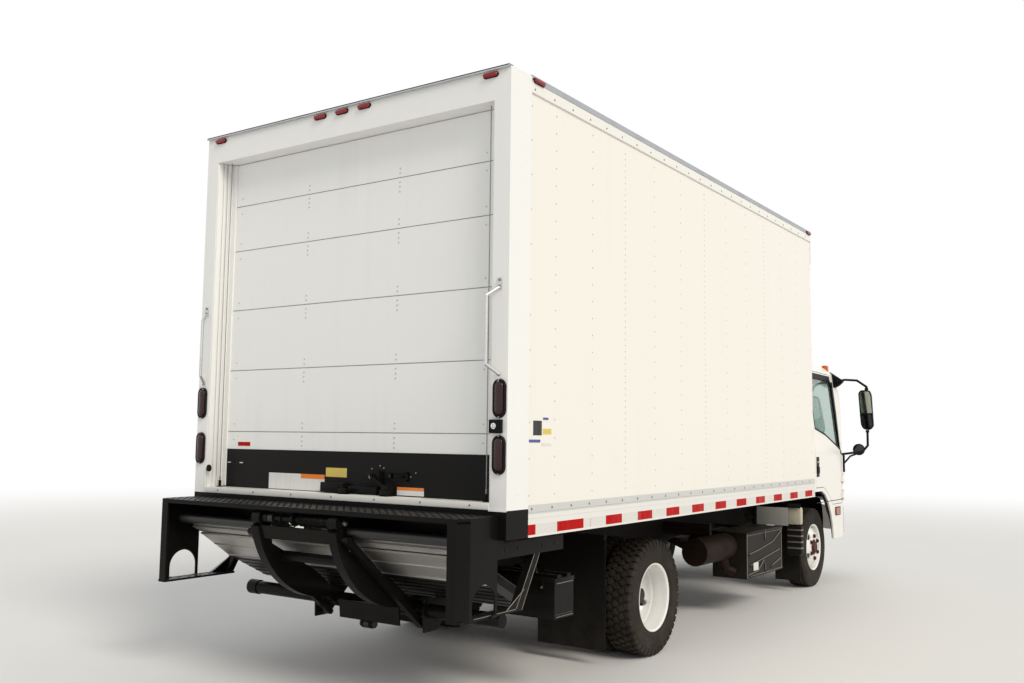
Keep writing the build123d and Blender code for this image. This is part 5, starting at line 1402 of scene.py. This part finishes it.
for y, height in ((-0.536, 1.248), (-0.271, 1.28), (-0.3, 1.268), (-0.21, 1.262), (0.13, 1.17), (-0.02, 1.17),
                  (-0.5, 1.225), (-0.345, 1.225)):
    rivet(bm, (face, y, height), (-1, 0, 0), 0.005, 0.003, 10, 1)
latch = piece("door_latch", bm, "chassis", "gate_black", gate_enamel, rivet_steel)
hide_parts("door_hardware")
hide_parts("door_hardware")

# %% [markdown]
# ## Liftgate details
# The deck and the steps are tread plate. Its pattern is short raised lozenges, turned left and right by
# turns, which a loop lays out over each plate.

# %% Tread plate
def tread(bm, low, high, height, pitch=0.031, long=0.0125, wide=0.0042, rise=0.0016, material=0):
    """Rows of raised lozenges over a level plate, turned one way and the other."""
    across_count = max(int((high[0] - low[0]) / pitch), 1)
    along_count = max(int((high[1] - low[1]) / pitch), 1)
    for row in range(across_count):
        for column in range(along_count):
            middle = Vector((low[0] + (row + 0.5) * (high[0] - low[0]) / across_count,
                             low[1] + (column + 0.5) * (high[1] - low[1]) / along_count, height))
            turn = math.radians(45 if (row + column) % 2 else -45)
            length_way = Vector((math.cos(turn), math.sin(turn), 0))
            width_way = Vector((-math.sin(turn), math.cos(turn), 0))
            rings = [[bm.verts.new(middle + length_way * (a * long * size) + width_way * (b * wide * size)
                                   + upright * lift) for a, b in ((1, 0), (0, 1), (-1, 0), (0, -1))]
                     for size, lift in ((1.0, 0.0), (0.55, rise))]
            bridge(bm, rings, material=material)
            bm.faces.new(rings[-1]).material_index = material


bm = bmesh.new()
tread(bm, (-3.662, -1.155), (-3.376, 1.155), deck_top, 0.0255, 0.0105, 0.0034, 0.0015)
for side in (-1, 1):
    low, high = sorted((side * 1.083, side * 1.156))
    tread(bm, (-3.65, low), (-3.15, high), 0.567, 0.036)
piece("tread_plate", bm, "chassis", "gate_black", gate_enamel)

# %% Torsion spring, collars and pins on the hinge shaft
bm = bmesh.new()
turns = 19
steps = 22
coil_radius = 0.0305
wire = 0.0037
turn_pitch = 0.0112
coil = []
for n in range(turns * steps + 1):
    turn = 2 * math.pi * n / steps
    coil.append(hinge + Vector((coil_radius * math.cos(turn), -0.022 - turn_pitch * n / steps,
                                coil_radius * math.sin(turn))))
tube(bm, coil, wire, 8)
tube(bm, [coil[0], hinge + Vector((-0.033, 0.02, -0.05))], wire, 8)
tube(bm, [coil[-1], hinge + Vector((-0.033, -0.255, -0.05))], wire, 8)
for y, wide, radius in ((0.022, 0.014, 0.037), (0.235, 0.03, 0.033), (0.19, 0.012, 0.030),
                        (-0.252, 0.02, 0.034), (0.12, 0.01, 0.027), (0.336, 0.012, 0.034),
                        (-0.336, 0.012, 0.034)):
    tube(bm, [hinge + across * (y + end * wide / 2) for end in (-1, 1)], radius, 28)
for side in (-1, 1):
    tube(bm, [hinge + across * side * y for y in (0.342, 0.362)], 0.013, 16, 1)
    rivet(bm, hinge + across * side * 0.362, (0, side, 0), 0.012, 0.004, 12, 1)
piece("torsion_spring", bm, "lift_arms", "gate_black", gate_enamel, rivet_steel, crease=40)

# %% Bolts and rivets of the gate
bm = bmesh.new()
for side in (-1, 1):
    for x, height in ((-3.03, 0.70), (-2.90, 0.72), (-2.80, 0.68)):
        hex_nut(bm, (x, side * 0.437, height), (0, side, 0), 0.014, 0.010, 0, 0.006)
    for x in (-3.30, -3.18, -2.95, -2.82):
        rivet(bm, (x, side * 1.169, 0.877), (0, side, 0), 0.011, 0.003, 12)
piece("gate_bolts", bm, "chassis", "gate_black", gate_enamel)

# %% Bosses of the lift arms
bm = bmesh.new()
pivot = Vector((-2.99, 0, 0.455))
for side in (-1, 1):
    tube(bm, [pivot + across * side * y for y in (0.331, 0.345)], 0.052, 32)
    hex_nut(bm, hinge + Vector((0.06, side * 0.33, -0.13)), (0, side, 0), 0.009, 0.007, 1)
    for n in range(3):
        rivet(bm, hinge + Vector((0.10 + 0.11 * n, side * 0.33, -0.215 - 0.09 * n)), (0, side, 0), 0.008,
              0.003, 12)
tube(bm, [(-2.99, 1.0795, 0.455), (-2.99, 1.0835, 0.455)], 0.036, 28)
piece("arm_bosses", bm, "lift_arms", "gate_black", gate_enamel, rivet_steel)

# %% [markdown]
# ### Folded platform
# The platform is extruded aluminium planks. Each joint between planks is a fine line with a lip, and the
# ramp's edges are bright where they have rubbed on docks.

# %% Plank lips and ribs
down_slope = Vector((math.cos(slope), 0, -math.sin(slope)))
off_slope = Vector((math.sin(slope), 0, math.cos(slope)))


def plank_point(along, above, y=0.0):
    """A point of the folded platform: along its planks from the hinge shaft, and above their line."""
    return hinge + down_slope * along + off_slope * above + Vector((0, y, 0))


square = [(-0.5, -0.5), (0.5, -0.5), (0.5, 0.5), (-0.5, 0.5)]


def rib(bm, along, above, wide, tall, half=1.013, material=0):
    """A bar across the platform with its section laid in the slope."""
    prism(bm, [(a * wide, u * tall) for a, u in square], plank_point(along, above, -half),
          plank_point(along, above, half), down_slope, off_slope, material, 0.001)


bm = bmesh.new()
for along in (0.132, 0.155, 0.178):
    rib(bm, along, -0.0515, 0.006, 0.004)
rib(bm, 0.33, -0.0800, 0.006, 0.004)
rib(bm, 0.4715, -0.0985, 0.014, 0.006)
rib(bm, 0.206, -0.0635, 0.012, 0.005)
piece("platform_lips", bm, "platform", "platform_aluminium", platform_metal)

# %% Black frame of the ramp
bm = bmesh.new()
for n in range(5):
    rib(bm, 0.53 + 0.065 * n, -0.0985, 0.01, 0.004)
for side in (-1, 1):
    for along, wide in ((0.30, 0.16), (0.66, 0.3)):
        prism(bm, [(a * 0.006, u * 0.03) for a, u in square],
              plank_point(along - wide / 2, -0.03, side * 1.0165),
              plank_point(along + wide / 2, -0.03, side * 1.0165), across, off_slope, 0, 0.001)
piece("platform_frame", bm, "platform", "gate_black", gate_enamel)

# %% [markdown]
# ### Pump box
# The pump's steel box has a lid with a turned edge, a row of spot welds and two clamps. Two bent pipes
# carry the oil to the frame.

# %% Pump box trim and pipes
bm = bmesh.new()
for low, high, z0, z1 in (((-2.7185, -1.1035), (-2.5065, -0.6965), 0.640, 0.663),
                          ((-2.7165, -1.1015), (-2.5085, -0.6985), 0.438, 0.446)):
    slab(bm, (low[0], low[1], z0), (high[0], high[1], z1), 0.002)
slab(bm, (-2.7015, -1.1045, 0.448), (-2.5235, -1.0985, 0.452), 0.001, 1)
slab(bm, (-2.7015, -1.1065, 0.634), (-2.5235, -1.0985, 0.638), 0.001, 1)
for n in range(8):
    rivet(bm, (-2.69 + 0.022 * n, -1.1, 0.462), (0, -1, 0), 0.003, 0.0015, 8, 1)
for y in (-1.02, -0.80):
    slab(bm, (-2.726, y - 0.012, 0.60), (-2.714, y + 0.012, 0.655), 0.002)
    hex_nut(bm, (-2.726, y, 0.612), (-1, 0, 0), 0.008, 0.006, 1)
pipe = ((-2.68, -0.92, 0.66), (-2.68, -0.92, 0.71), (-2.69, -0.90, 0.75), (-2.70, -0.84, 0.775),
        (-2.70, -0.70, 0.775), (-2.70, -0.60, 0.765), (-2.70, -0.52, 0.74), (-2.70, -0.431, 0.735))
for shift in (0.0, 0.045):
    tube(bm, [(x + shift, y, z) for x, y, z in pipe], 0.009, 12, 2)
    hex_nut(bm, (-2.68 + shift, -0.92, 0.66), (0, 0, 1), 0.014, 0.02, 1)
piece("pump_trim", bm, "chassis", "gate_black", gate_enamel, rivet_steel, hose_rubber)

# %% [markdown]
# ## Cab details
# The doors carry black window frames, a drip strip, a deep handle and the mirror's lower bracket. The
# mirrors, the lamps and the stuffed pads replace the plain solids of the frame.

# %% Door trim
def skin(height):
    """Half width of the cab at a height: straight below the window line and leaning in above it."""
    return belt_half - max(0.0, height - belt) * pillar_lean


def on_skin(bm, outline, side, out, thick, material=0):
    """A thin plate that follows the door's skin, from points of x and height."""
    inner = [bm.verts.new((x, side * (skin(z) + out - thick), z)) for x, z in outline]
    outer = [bm.verts.new((x, side * (skin(z) + out), z)) for x, z in outline]
    bridge(bm, [inner, outer] if side > 0 else [outer, inner], material=material)
    cap(bm, [inner, outer], material)


def frame_strip(bm, points, side, wide, out, thick, material=0):
    """A strip of even width along a line of points on the skin."""
    for (x0, z0), (x1, z1) in zip(points, points[1:]):
        way = Vector((x1 - x0, 0, z1 - z0)).normalized()
        turn = Vector((-way.z, 0, way.x)) * wide / 2
        start, end = Vector((x0, 0, z0)) - way * wide * 0.48, Vector((x1, 0, z1)) + way * wide * 0.48
        corners = [(p.x, p.z) for p in (start + turn, end + turn, end - turn, start - turn)]
        on_skin(bm, corners, side, out, thick, material)


window = [(2.335, 1.568), (2.335, 2.100), (3.040, 2.085), (3.105, 2.020), (3.110, 1.320), (3.042, 1.379),
          (2.632, 1.512), (2.335, 1.568)]
for side, word in ((1, "left"), (-1, "right")):
    bm = bmesh.new()
    frame_strip(bm, window, side, 0.020, 0.0012, 0.019)
    on_skin(bm, [(2.330, 2.098), (3.045, 2.083), (3.045, 2.128), (2.330, 2.140)], side, 0.0016, 0.004)
    on_skin(bm, [(3.088, 1.335), (3.137, 1.310), (3.137, 2.07), (3.088, 2.07)], side, 0.0016, 0.004)
    on_skin(bm, [(2.275, 1.090), (2.360, 1.090), (2.360, 1.285), (2.275, 1.285)], side, 0.0025, 0.005)
    side_slab(bm, side, (2.288, 1.034, 1.125), (2.347, 1.046, 1.19), 0.005)
    rivet(bm, (2.318, side * 1.034, 1.235), (0, side, 0), 0.011, 0.003, 20, 1)
    frame_strip(bm, [(2.262, 0.835), (3.125, 0.835)], side, 0.006, 0.0015, 0.003)
    piece("door_trim_" + word, bm, "door_" + word, "mirror_black", trim_plastic, bright_metal)

# %% [markdown]
# ### Mirrors
# A bent tube holds a tall rounded head with a flat upper glass and a round wide-angle glass below it.
# The glasses face the back of the truck.

# %% Rounded outlines and heads
def rounded(points, radius, steps=4):
    """Cuts the corners of an outline with small arcs."""
    made = []
    for before, here, after in zip(points[-1:] + points[:-1], points, points[1:] + points[:1]):
        to_before, to_after = before - here, after - here
        reach = min(radius, to_before.length * 0.45, to_after.length * 0.45)
        start, end = here + to_before.normalized() * reach, here + to_after.normalized() * reach
        for n in range(steps + 1):
            share = n / steps
            made.append(start.lerp(here, share).lerp(here.lerp(end, share), share))
    return made


def loft_x(bm, outline, layers, side, material=0):
    """A closed head: the outline of y and height, scaled about its middle at each x."""
    middle = sum(outline, Vector((0, 0))) / len(outline)
    rings = [[bm.verts.new((x, side * (middle.x + (p.x - middle.x) * size),
                            middle.y + (p.y - middle.y) * (1 - (1 - size) * 0.5)))
              for p in outline] for x, size in layers]
    bridge(bm, rings if side < 0 else rings[::-1], material=material)
    cap(bm, rings, material)


def points_of(*pairs):
    """Pairs of numbers as points that can be added and scaled."""
    return [Vector(pair) for pair in pairs]


print("an outline's corners can be rounded")

# %% Mirrors
mirror_x = 3.400
mirror_y = 1.238
arm_radius = 0.0122
head_y, head_z = 1.236, 1.778
round_y, round_z = 1.150, 1.356
head = points_of((1.157, 1.960), (1.180, 1.993), (1.275, 1.993), (1.294, 1.940), (1.309, 1.603),
                 (1.270, 1.563), (1.205, 1.571), (1.178, 1.620))
vane = points_of((0.880, 2.206), (1.057, 2.085), (1.010, 2.040), (0.960, 2.012), (0.905, 2.020),
                 (0.860, 2.120))
head_layers = ((3.368, 0.97), (3.3695, 0.995), (3.376, 1.0), (3.402, 0.99), (3.424, 0.9), (3.436, 0.76),
               (3.442, 0.5))
upper_arm = [(0.990, 2.080), (1.060, 2.100), (1.160, 2.096), (mirror_y, 2.030), (mirror_y, 1.993)]
lower_arm = [(mirror_y, 1.565), (mirror_y, 1.400), (1.195, 1.335), (0.990, 1.300)]
bm = bmesh.new()
for side in (-1, 1):
    loft_x(bm, rounded(head, 0.024), head_layers, side)
    inner = [Vector((head_y + (p.x - head_y) * 0.86, head_z + (p.y - head_z) * 0.93)) for p in head]
    # The upper pane and the round glass carry the painted reflection colours.
    for low, high, which in ((1.745, 2.2, 1), (1.4, 1.730, 3)):
        pane = rounded([Vector((p.x, min(max(p.y, low), high))) for p in inner], 0.012)
        loft_x(bm, pane, ((3.3683, 1.0), (3.3672, 0.99)), side, which)
    for arm in (upper_arm, lower_arm):
        tube(bm, [(mirror_x - (mirror_y - y), side * y, z) for y, z in arm], arm_radius, 14)
    for height in (2.006, 1.552):
        tube(bm, [(mirror_x, side * mirror_y, height + rise) for rise in (-0.012, 0.012)], 0.019, 16)
    for near, far, radius, which in ((3.367, 3.388, 0.0615, 0), (3.388, 3.404, 0.048, 0),
                                     (3.366, 3.3668, 0.055, 3)):
        tube(bm, [(x, side * round_y, round_z) for x in (near, far)], radius, 32, which)
    loft_x(bm, rounded(vane, 0.02), ((3.160, 0.96), (3.164, 1.0), (3.225, 1.0), (3.240, 0.9)), side)
    side_slab(bm, side, (3.160, 1.034, 1.115), (3.198, 1.052, 1.300), 0.008)
    for height in (1.135, 1.285):
        hex_nut(bm, (3.179, side * 1.051, height), (0, side, 0), 0.008, 0.005, 2)
    stay = ((3.179, 1.046, 1.21), (3.26, 1.09, 1.285), (3.357, 1.195, 1.335))
    tube(bm, [(x, side * y, z) for x, y, z in stay], 0.0095, 12)
mirror_set = piece("mirror_set", bm, "cab", "mirror_black", trim_plastic, mirror_painted_reflection, rivet_steel,
                   wide_glass_painted_reflection, crease=35)
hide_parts("mirrors")

# %% Cab lamps
bm = bmesh.new()
for side in (-1, 1):
    out = Vector((0, side, 0))
    side_slab(bm, side, (2.870, 1.0318, 0.680), (3.040, 1.0405, 0.765), 0.004)
    for low, high, which in ((2.878, 2.950, 1), (2.955, 3.032, 2)):
        side_slab(bm, side, (low, 1.038, 0.688), (high, 1.0455, 0.757), 0.003, which)
    side_slab(bm, side, (3.090, 0.847, 2.1655), (3.158, 0.913, 2.253), 0.02, 1)
    side_slab(bm, side, (3.489, 0.602, 0.832), (3.606, 0.778, 0.998), 0.014)
    side_slab(bm, side, (3.52, 0.612, 0.842), (3.6135, 0.768, 0.988), 0.02, 2)
lamps = piece("cab_lamp_set", bm, "cab", "lamp_clear", trim_plastic, roof_amber, clear_lens)
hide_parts("cab_lamps")

# %% Wipers, grille bars and bumper lamps
bm = bmesh.new()
for side in (-1, 1):
    foot = Vector((3.618, side * 0.42 - 0.05, 1.335))
    tube(bm, [foot, foot + Vector((0.012, 0, 0.03)), (3.606, side * 0.42 + 0.20, 1.52),
              (3.585, side * 0.42 + 0.26, 1.60)], 0.006, 8)
    rivet(bm, foot, (1, 0, 0.2), 0.016, 0.014, 20)
for n in range(5):
    height = 0.893 + 0.04 * n
    slab(bm, (3.640, -0.425, height - 0.006), (3.6535, 0.425, height + 0.006), 0.003)
for side in (-1, 1):
    side_slab(bm, side, (3.662, 0.30, 0.525), (3.6696, 0.62, 0.60), 0.003)
    side_slab(bm, side, (3.655, 0.68, 0.585), (3.6696, 0.82, 0.655), 0.006, 1)
piece("cab_front_trim", bm, "cab", "grille_black", trim_plastic, clear_lens)

# %% [markdown]
# ### Cab benches
# The driver's seat and the double seat are stuffed cloth. Each pad starts as a block with rounded sides,
# is blown up a little by a cloth run, and gets its seams after that.

# %% Stuffed pads
def pad(name, low, high, lean=0.0, shrink=0.014):
    """One stuffed pad inside a box: remeshed, blown up with cloth pressure and smoothed."""
    bm = bmesh.new()
    slab(bm, [a + shrink for a in low], [b - shrink for b in high], 0.03)
    mesh = bpy.data.meshes.new(name)
    for vertex in bm.verts:
        vertex.co.x += lean * (vertex.co.z - low[2])
    bm.to_mesh(mesh)
    bm.free()
    obj = bpy.data.objects.new(name, mesh)
    bpy.context.scene.collection.objects.link(obj)
    bpy.context.view_layer.objects.active = obj
    obj.select_set(True)
    grid = obj.modifiers.new("grid", "REMESH")
    grid.mode = "VOXEL"
    grid.voxel_size = 0.012
    bpy.ops.object.modifier_apply(modifier=grid.name)
    start = [vertex.co.copy() for vertex in obj.data.vertices]
    stuffing = obj.modifiers.new("stuffing", "CLOTH")
    stuffing.settings.use_pressure = True
    stuffing.settings.uniform_pressure_force = 4.0
    stuffing.settings.effector_weights.gravity = 0.0
    stuffing.settings.quality = 4
    for moment in range(1, 21):
        bpy.context.scene.frame_set(moment)
    shaped = obj.evaluated_get(bpy.context.evaluated_depsgraph_get()).to_mesh()
    moved = [vertex.co.copy() for vertex in shaped.vertices]
    obj.modifiers.remove(stuffing)
    bpy.context.scene.frame_set(1)
    for vertex, first, last in zip(obj.data.vertices, start, moved):
        step = last - first
        if step.length > shrink:
            step = step.normalized() * shrink
        vertex.co = first + step
    smooth = obj.modifiers.new("smooth", "SMOOTH")
    smooth.iterations = 6
    bpy.ops.object.modifier_apply(modifier=smooth.name)
    for face in obj.data.polygons:
        face.use_smooth = True
    obj.select_set(False)
    obj.data.materials.append(seat_cloth)
    return obj


def channels(obj, axis, places, depth, wide):
    """Presses sewn channels into a pad, at places along one axis."""
    for vertex in obj.data.vertices:
        for place in places:
            far_off = abs(vertex.co[axis] - place) / wide
            if far_off < 1:
                vertex.co -= vertex.normal * depth * (1 - far_off) ** 2


print("a pad can be stuffed and sewn")

# %% Cushions and backrests
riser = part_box("seats")[0][2]
pads = []
for name, middle, half in (("driver", 0.500, 0.260), ("double", -0.400, 0.430)):
    cushion = pad(name + "_cushion", (2.092, middle - half, riser + 0.002),
                  (2.558, middle + half, riser + 0.138))
    backrest = pad(name + "_backrest", (1.972, middle - half, riser + 0.01),
                   (2.070, middle + half, riser + 0.742), -0.015)
    for obj in (cushion, backrest):
        channels(obj, 1, [middle - half * 0.62, middle + half * 0.62], 0.006, 0.014)
        if half > 0.3:
            channels(obj, 1, [middle], 0.01, 0.018)
        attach(obj, "cab")
        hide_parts("seats")
        pads.append(obj)
print("seat pads", [(obj.name, len(obj.data.polygons)) for obj in pads])

# %% [markdown]
# ### Under the body
# Small parts stand under the load floor behind the cab: an air filter can with ribs, a white bottle with a
# cap, hoses, and the ribs of the battery box.

# %% Battery box lid and bolts
bm = bmesh.new()
slab(bm, (0.449, -1.0045, 0.662), (1.326, -0.6955, 0.6765), 0.003)
slab(bm, (0.60, -1.0075, 0.352), (0.71, -1.0045, 0.418), 0.001, 2)
for x in (0.47, 1.305):
    for height in (0.312, 0.655):
        hex_nut(bm, (x, -1.0005, height), (0, -1, 0), 0.008, 0.005, 1)
piece("battery_trim", bm, "chassis", "chassis_black", box_black, rivet_steel, label_white)

# %% Wear and painted highlights on the edges of the battery box, the braces and the steps
# Light thin tubes on the ribs and edges: partly wear, partly a painted highlight where the edges catch the
# light.
wear_and_highlight_metal = bare_metal("worn edge and painted highlight", (0.42, 0.38, 0.33), (0.2, 0.18, 0.16), 0.5, 0.6, 0.1, 120.0)
box_corner = (0.455, 0.309)
rib_lines = (((0.060, 0.190), (0.260, 0.205), (0.620, 0.250), (0.830, 0.330)),
             ((0.090, 0.095), (0.790, 0.170)), ((0.030, 0.020), (0.250, 0.035), (0.400, 0.110)),
             ((0.580, 0.045), (0.820, 0.090)), ((0.430, 0.290), (0.430, 0.370)),
             ((0.430, 0.025), (0.430, 0.080)))
border = ((0.470, 0.312), (0.470, 0.650), (1.305, 0.650), (1.305, 0.312), (0.470, 0.312))
brace_lines = (((-3.130, 0.557), (-2.962, 0.835)), ((-3.180, 0.570), (-3.012, 0.835)),
               ((-3.270, 0.570), (-3.108, 0.660)), ((-3.560, 0.5675), (-3.185, 0.5675)))
bm = bmesh.new()
for line in rib_lines:
    tube(bm, [(box_corner[0] + x, -1.0052, box_corner[1] + z) for x, z in line], 0.0026, 6)
tube(bm, [(x, -1.0008, z) for x, z in border], 0.0022, 6)
for side in (-1, 1):
    for line in brace_lines:
        tube(bm, [(x, side * 1.1572, z) for x, z in line], 0.0018, 6)
piece("battery_ribs", bm, "chassis", "chassis_black", wear_and_highlight_metal)

# %% Air filter, bottle, panel and hose
bottle_white = moulded("bottle plastic", (0.42, 0.39, 0.3), 0.35, grain=0.3, dust=0.3)
panel_grey = painted("inner panel paint", (0.34, 0.34, 0.33), dust=0.3, streaks=0.2, coat=0.0)
bm = bmesh.new()
can_x = 1.938
for n in range(9):
    low = 0.372 + 0.0285 * n
    slab(bm, (1.900, -0.992, low), (1.984, -0.846, low + 0.016), 0.007)
    slab(bm, (1.906, -0.986, low + 0.013), (1.978, -0.852, low + 0.0315), 0.003, 4 if n % 2 else 0)
tube(bm, [(can_x, -0.923, 0.61), (can_x, -0.88, 0.64), (1.93, -0.80, 0.67), (1.91, -0.70, 0.69),
          (1.91, -0.425, 0.70)], 0.012, 10)
slab(bm, (1.900, -0.990, 0.640), (1.980, -0.845, 0.812), 0.03, 1)
tube(bm, [(can_x, -0.94, 0.80), (can_x, -0.94, 0.822)], 0.018, 20, 1)
tube(bm, [(can_x, -0.94, 0.818), (can_x, -0.94, 0.838)], 0.024, 24, 2)
slab(bm, (1.882, -0.990, 0.800), (1.890, -0.560, 0.845), 0.002)
slab(bm, (1.882, -0.870, 0.63), (1.890, -0.560, 0.845), 0.003, 3)
slab(bm, (1.884, -0.975, 0.355), (1.978, -0.870, 0.367), 0.002)
fold = 0.0085
for n in range(25):
    low = 0.56 + fold * n
    tube(bm, [(2.0, -0.5, low), (2.0, -0.5, low + fold)], 0.030 if n % 2 else 0.026, 16)
piece("filter_and_bottle", bm, "chassis", "chassis_black", hose_rubber, bottle_white, zinc_metal, panel_grey,
      wear_and_highlight_metal)

# %% [markdown]
# ### Wheel arch liners
# Each front wheel turns under a dark sheet that closes the space below the cab. It hangs from the frame, so
# it stays when the cab tilts, and it keeps clear of the tyre when the wheels steer.

# %% Arch liners
bm = bmesh.new()
liner_line = [(2.120, 0.800), (2.150, 0.850), (2.250, 0.872), (2.700, 0.872), (2.820, 0.850), (2.890, 0.780),
              (2.915, 0.650), (2.918, 0.470)]
for side in (-1, 1):
    rings = []
    for y, thick in ((0.446, 0.0), (0.890, 0.0), (0.890, 0.0028), (0.446, 0.0028)):
        rings.append([bm.verts.new((x + thick, side * y, z + thick)) for x, z in liner_line])
    bridge(bm, rings, closed=False, loop=True)
    for n in (0, -1):
        bm.faces.new([ring[n] for ring in rings])
    side_slab(bm, side, (2.40, 0.4372, 0.866), (2.52, 0.47, 0.872), 0.001)
piece("arch_liners", bm, "chassis", "mud_rubber", flap_rubber)

# %% [markdown]
# ## The floor
# A pale floor carries the truck's shadow. It grows white with distance from the truck, so that it meets the
# white background without a line.

# %% Floor
floor_half = 60.0
floor_mesh = bpy.data.meshes.new("studio_floor")
floor_mesh.from_pydata([(-floor_half, -floor_half, 0), (floor_half, -floor_half, 0),
                        (floor_half, floor_half, 0), (-floor_half, floor_half, 0)], [], [(0, 1, 2, 3)])
floor = bpy.data.objects.new("studio_floor", floor_mesh)
bpy.context.scene.collection.objects.link(floor)

floor_paint, tree, shader = finish_of("studio floor", (0.78, 0.77, 0.75), 0.9)
grain_of_floor = place_group(tree, relief, Wave_size=0.6, Wave=0.4, Grain_size=40.0, Grain=0.4)
tone = mix_colours(tree, ramp(tree, grain_of_floor.outputs["Height"], 0.2, 0.6), (0.765, 0.755, 0.735, 1),
                   (0.785, 0.775, 0.755, 1))
tree.links.new(tone, shader.inputs["Base Color"])
shader.inputs["Emission Color"].default_value = (1, 1, 1, 1)
place = tree.nodes.new("ShaderNodeTexCoord")
reach = tree.nodes.new("ShaderNodeVectorMath")
reach.operation = "LENGTH"
tree.links.new(place.outputs["Object"], reach.inputs[0])
plain = tree.nodes.new("ShaderNodeEmission")
plain.inputs["Color"].default_value = (1, 1, 1, 1)
blend = tree.nodes.new("ShaderNodeMixShader")
light_path = tree.nodes.new("ShaderNodeLightPath")
far = ramp(tree, reach.outputs["Value"], 8.0, 22.0)
tree.links.new(sums(tree, "MULTIPLY", far, light_path.outputs["Is Camera Ray"]), blend.inputs["Fac"])
tree.links.new(shader.outputs[0], blend.inputs[1])
tree.links.new(plain.outputs[0], blend.inputs[2])
tree.links.new(blend.outputs[0], tree.nodes["Material Output"].inputs["Surface"])
floor_mesh.materials.append(floor_paint)
print("floor", 2 * floor_half, "m wide")

# %% [markdown]
# The Standard view shows colours as they are written.

bpy.context.scene.view_settings.view_transform = "Standard"
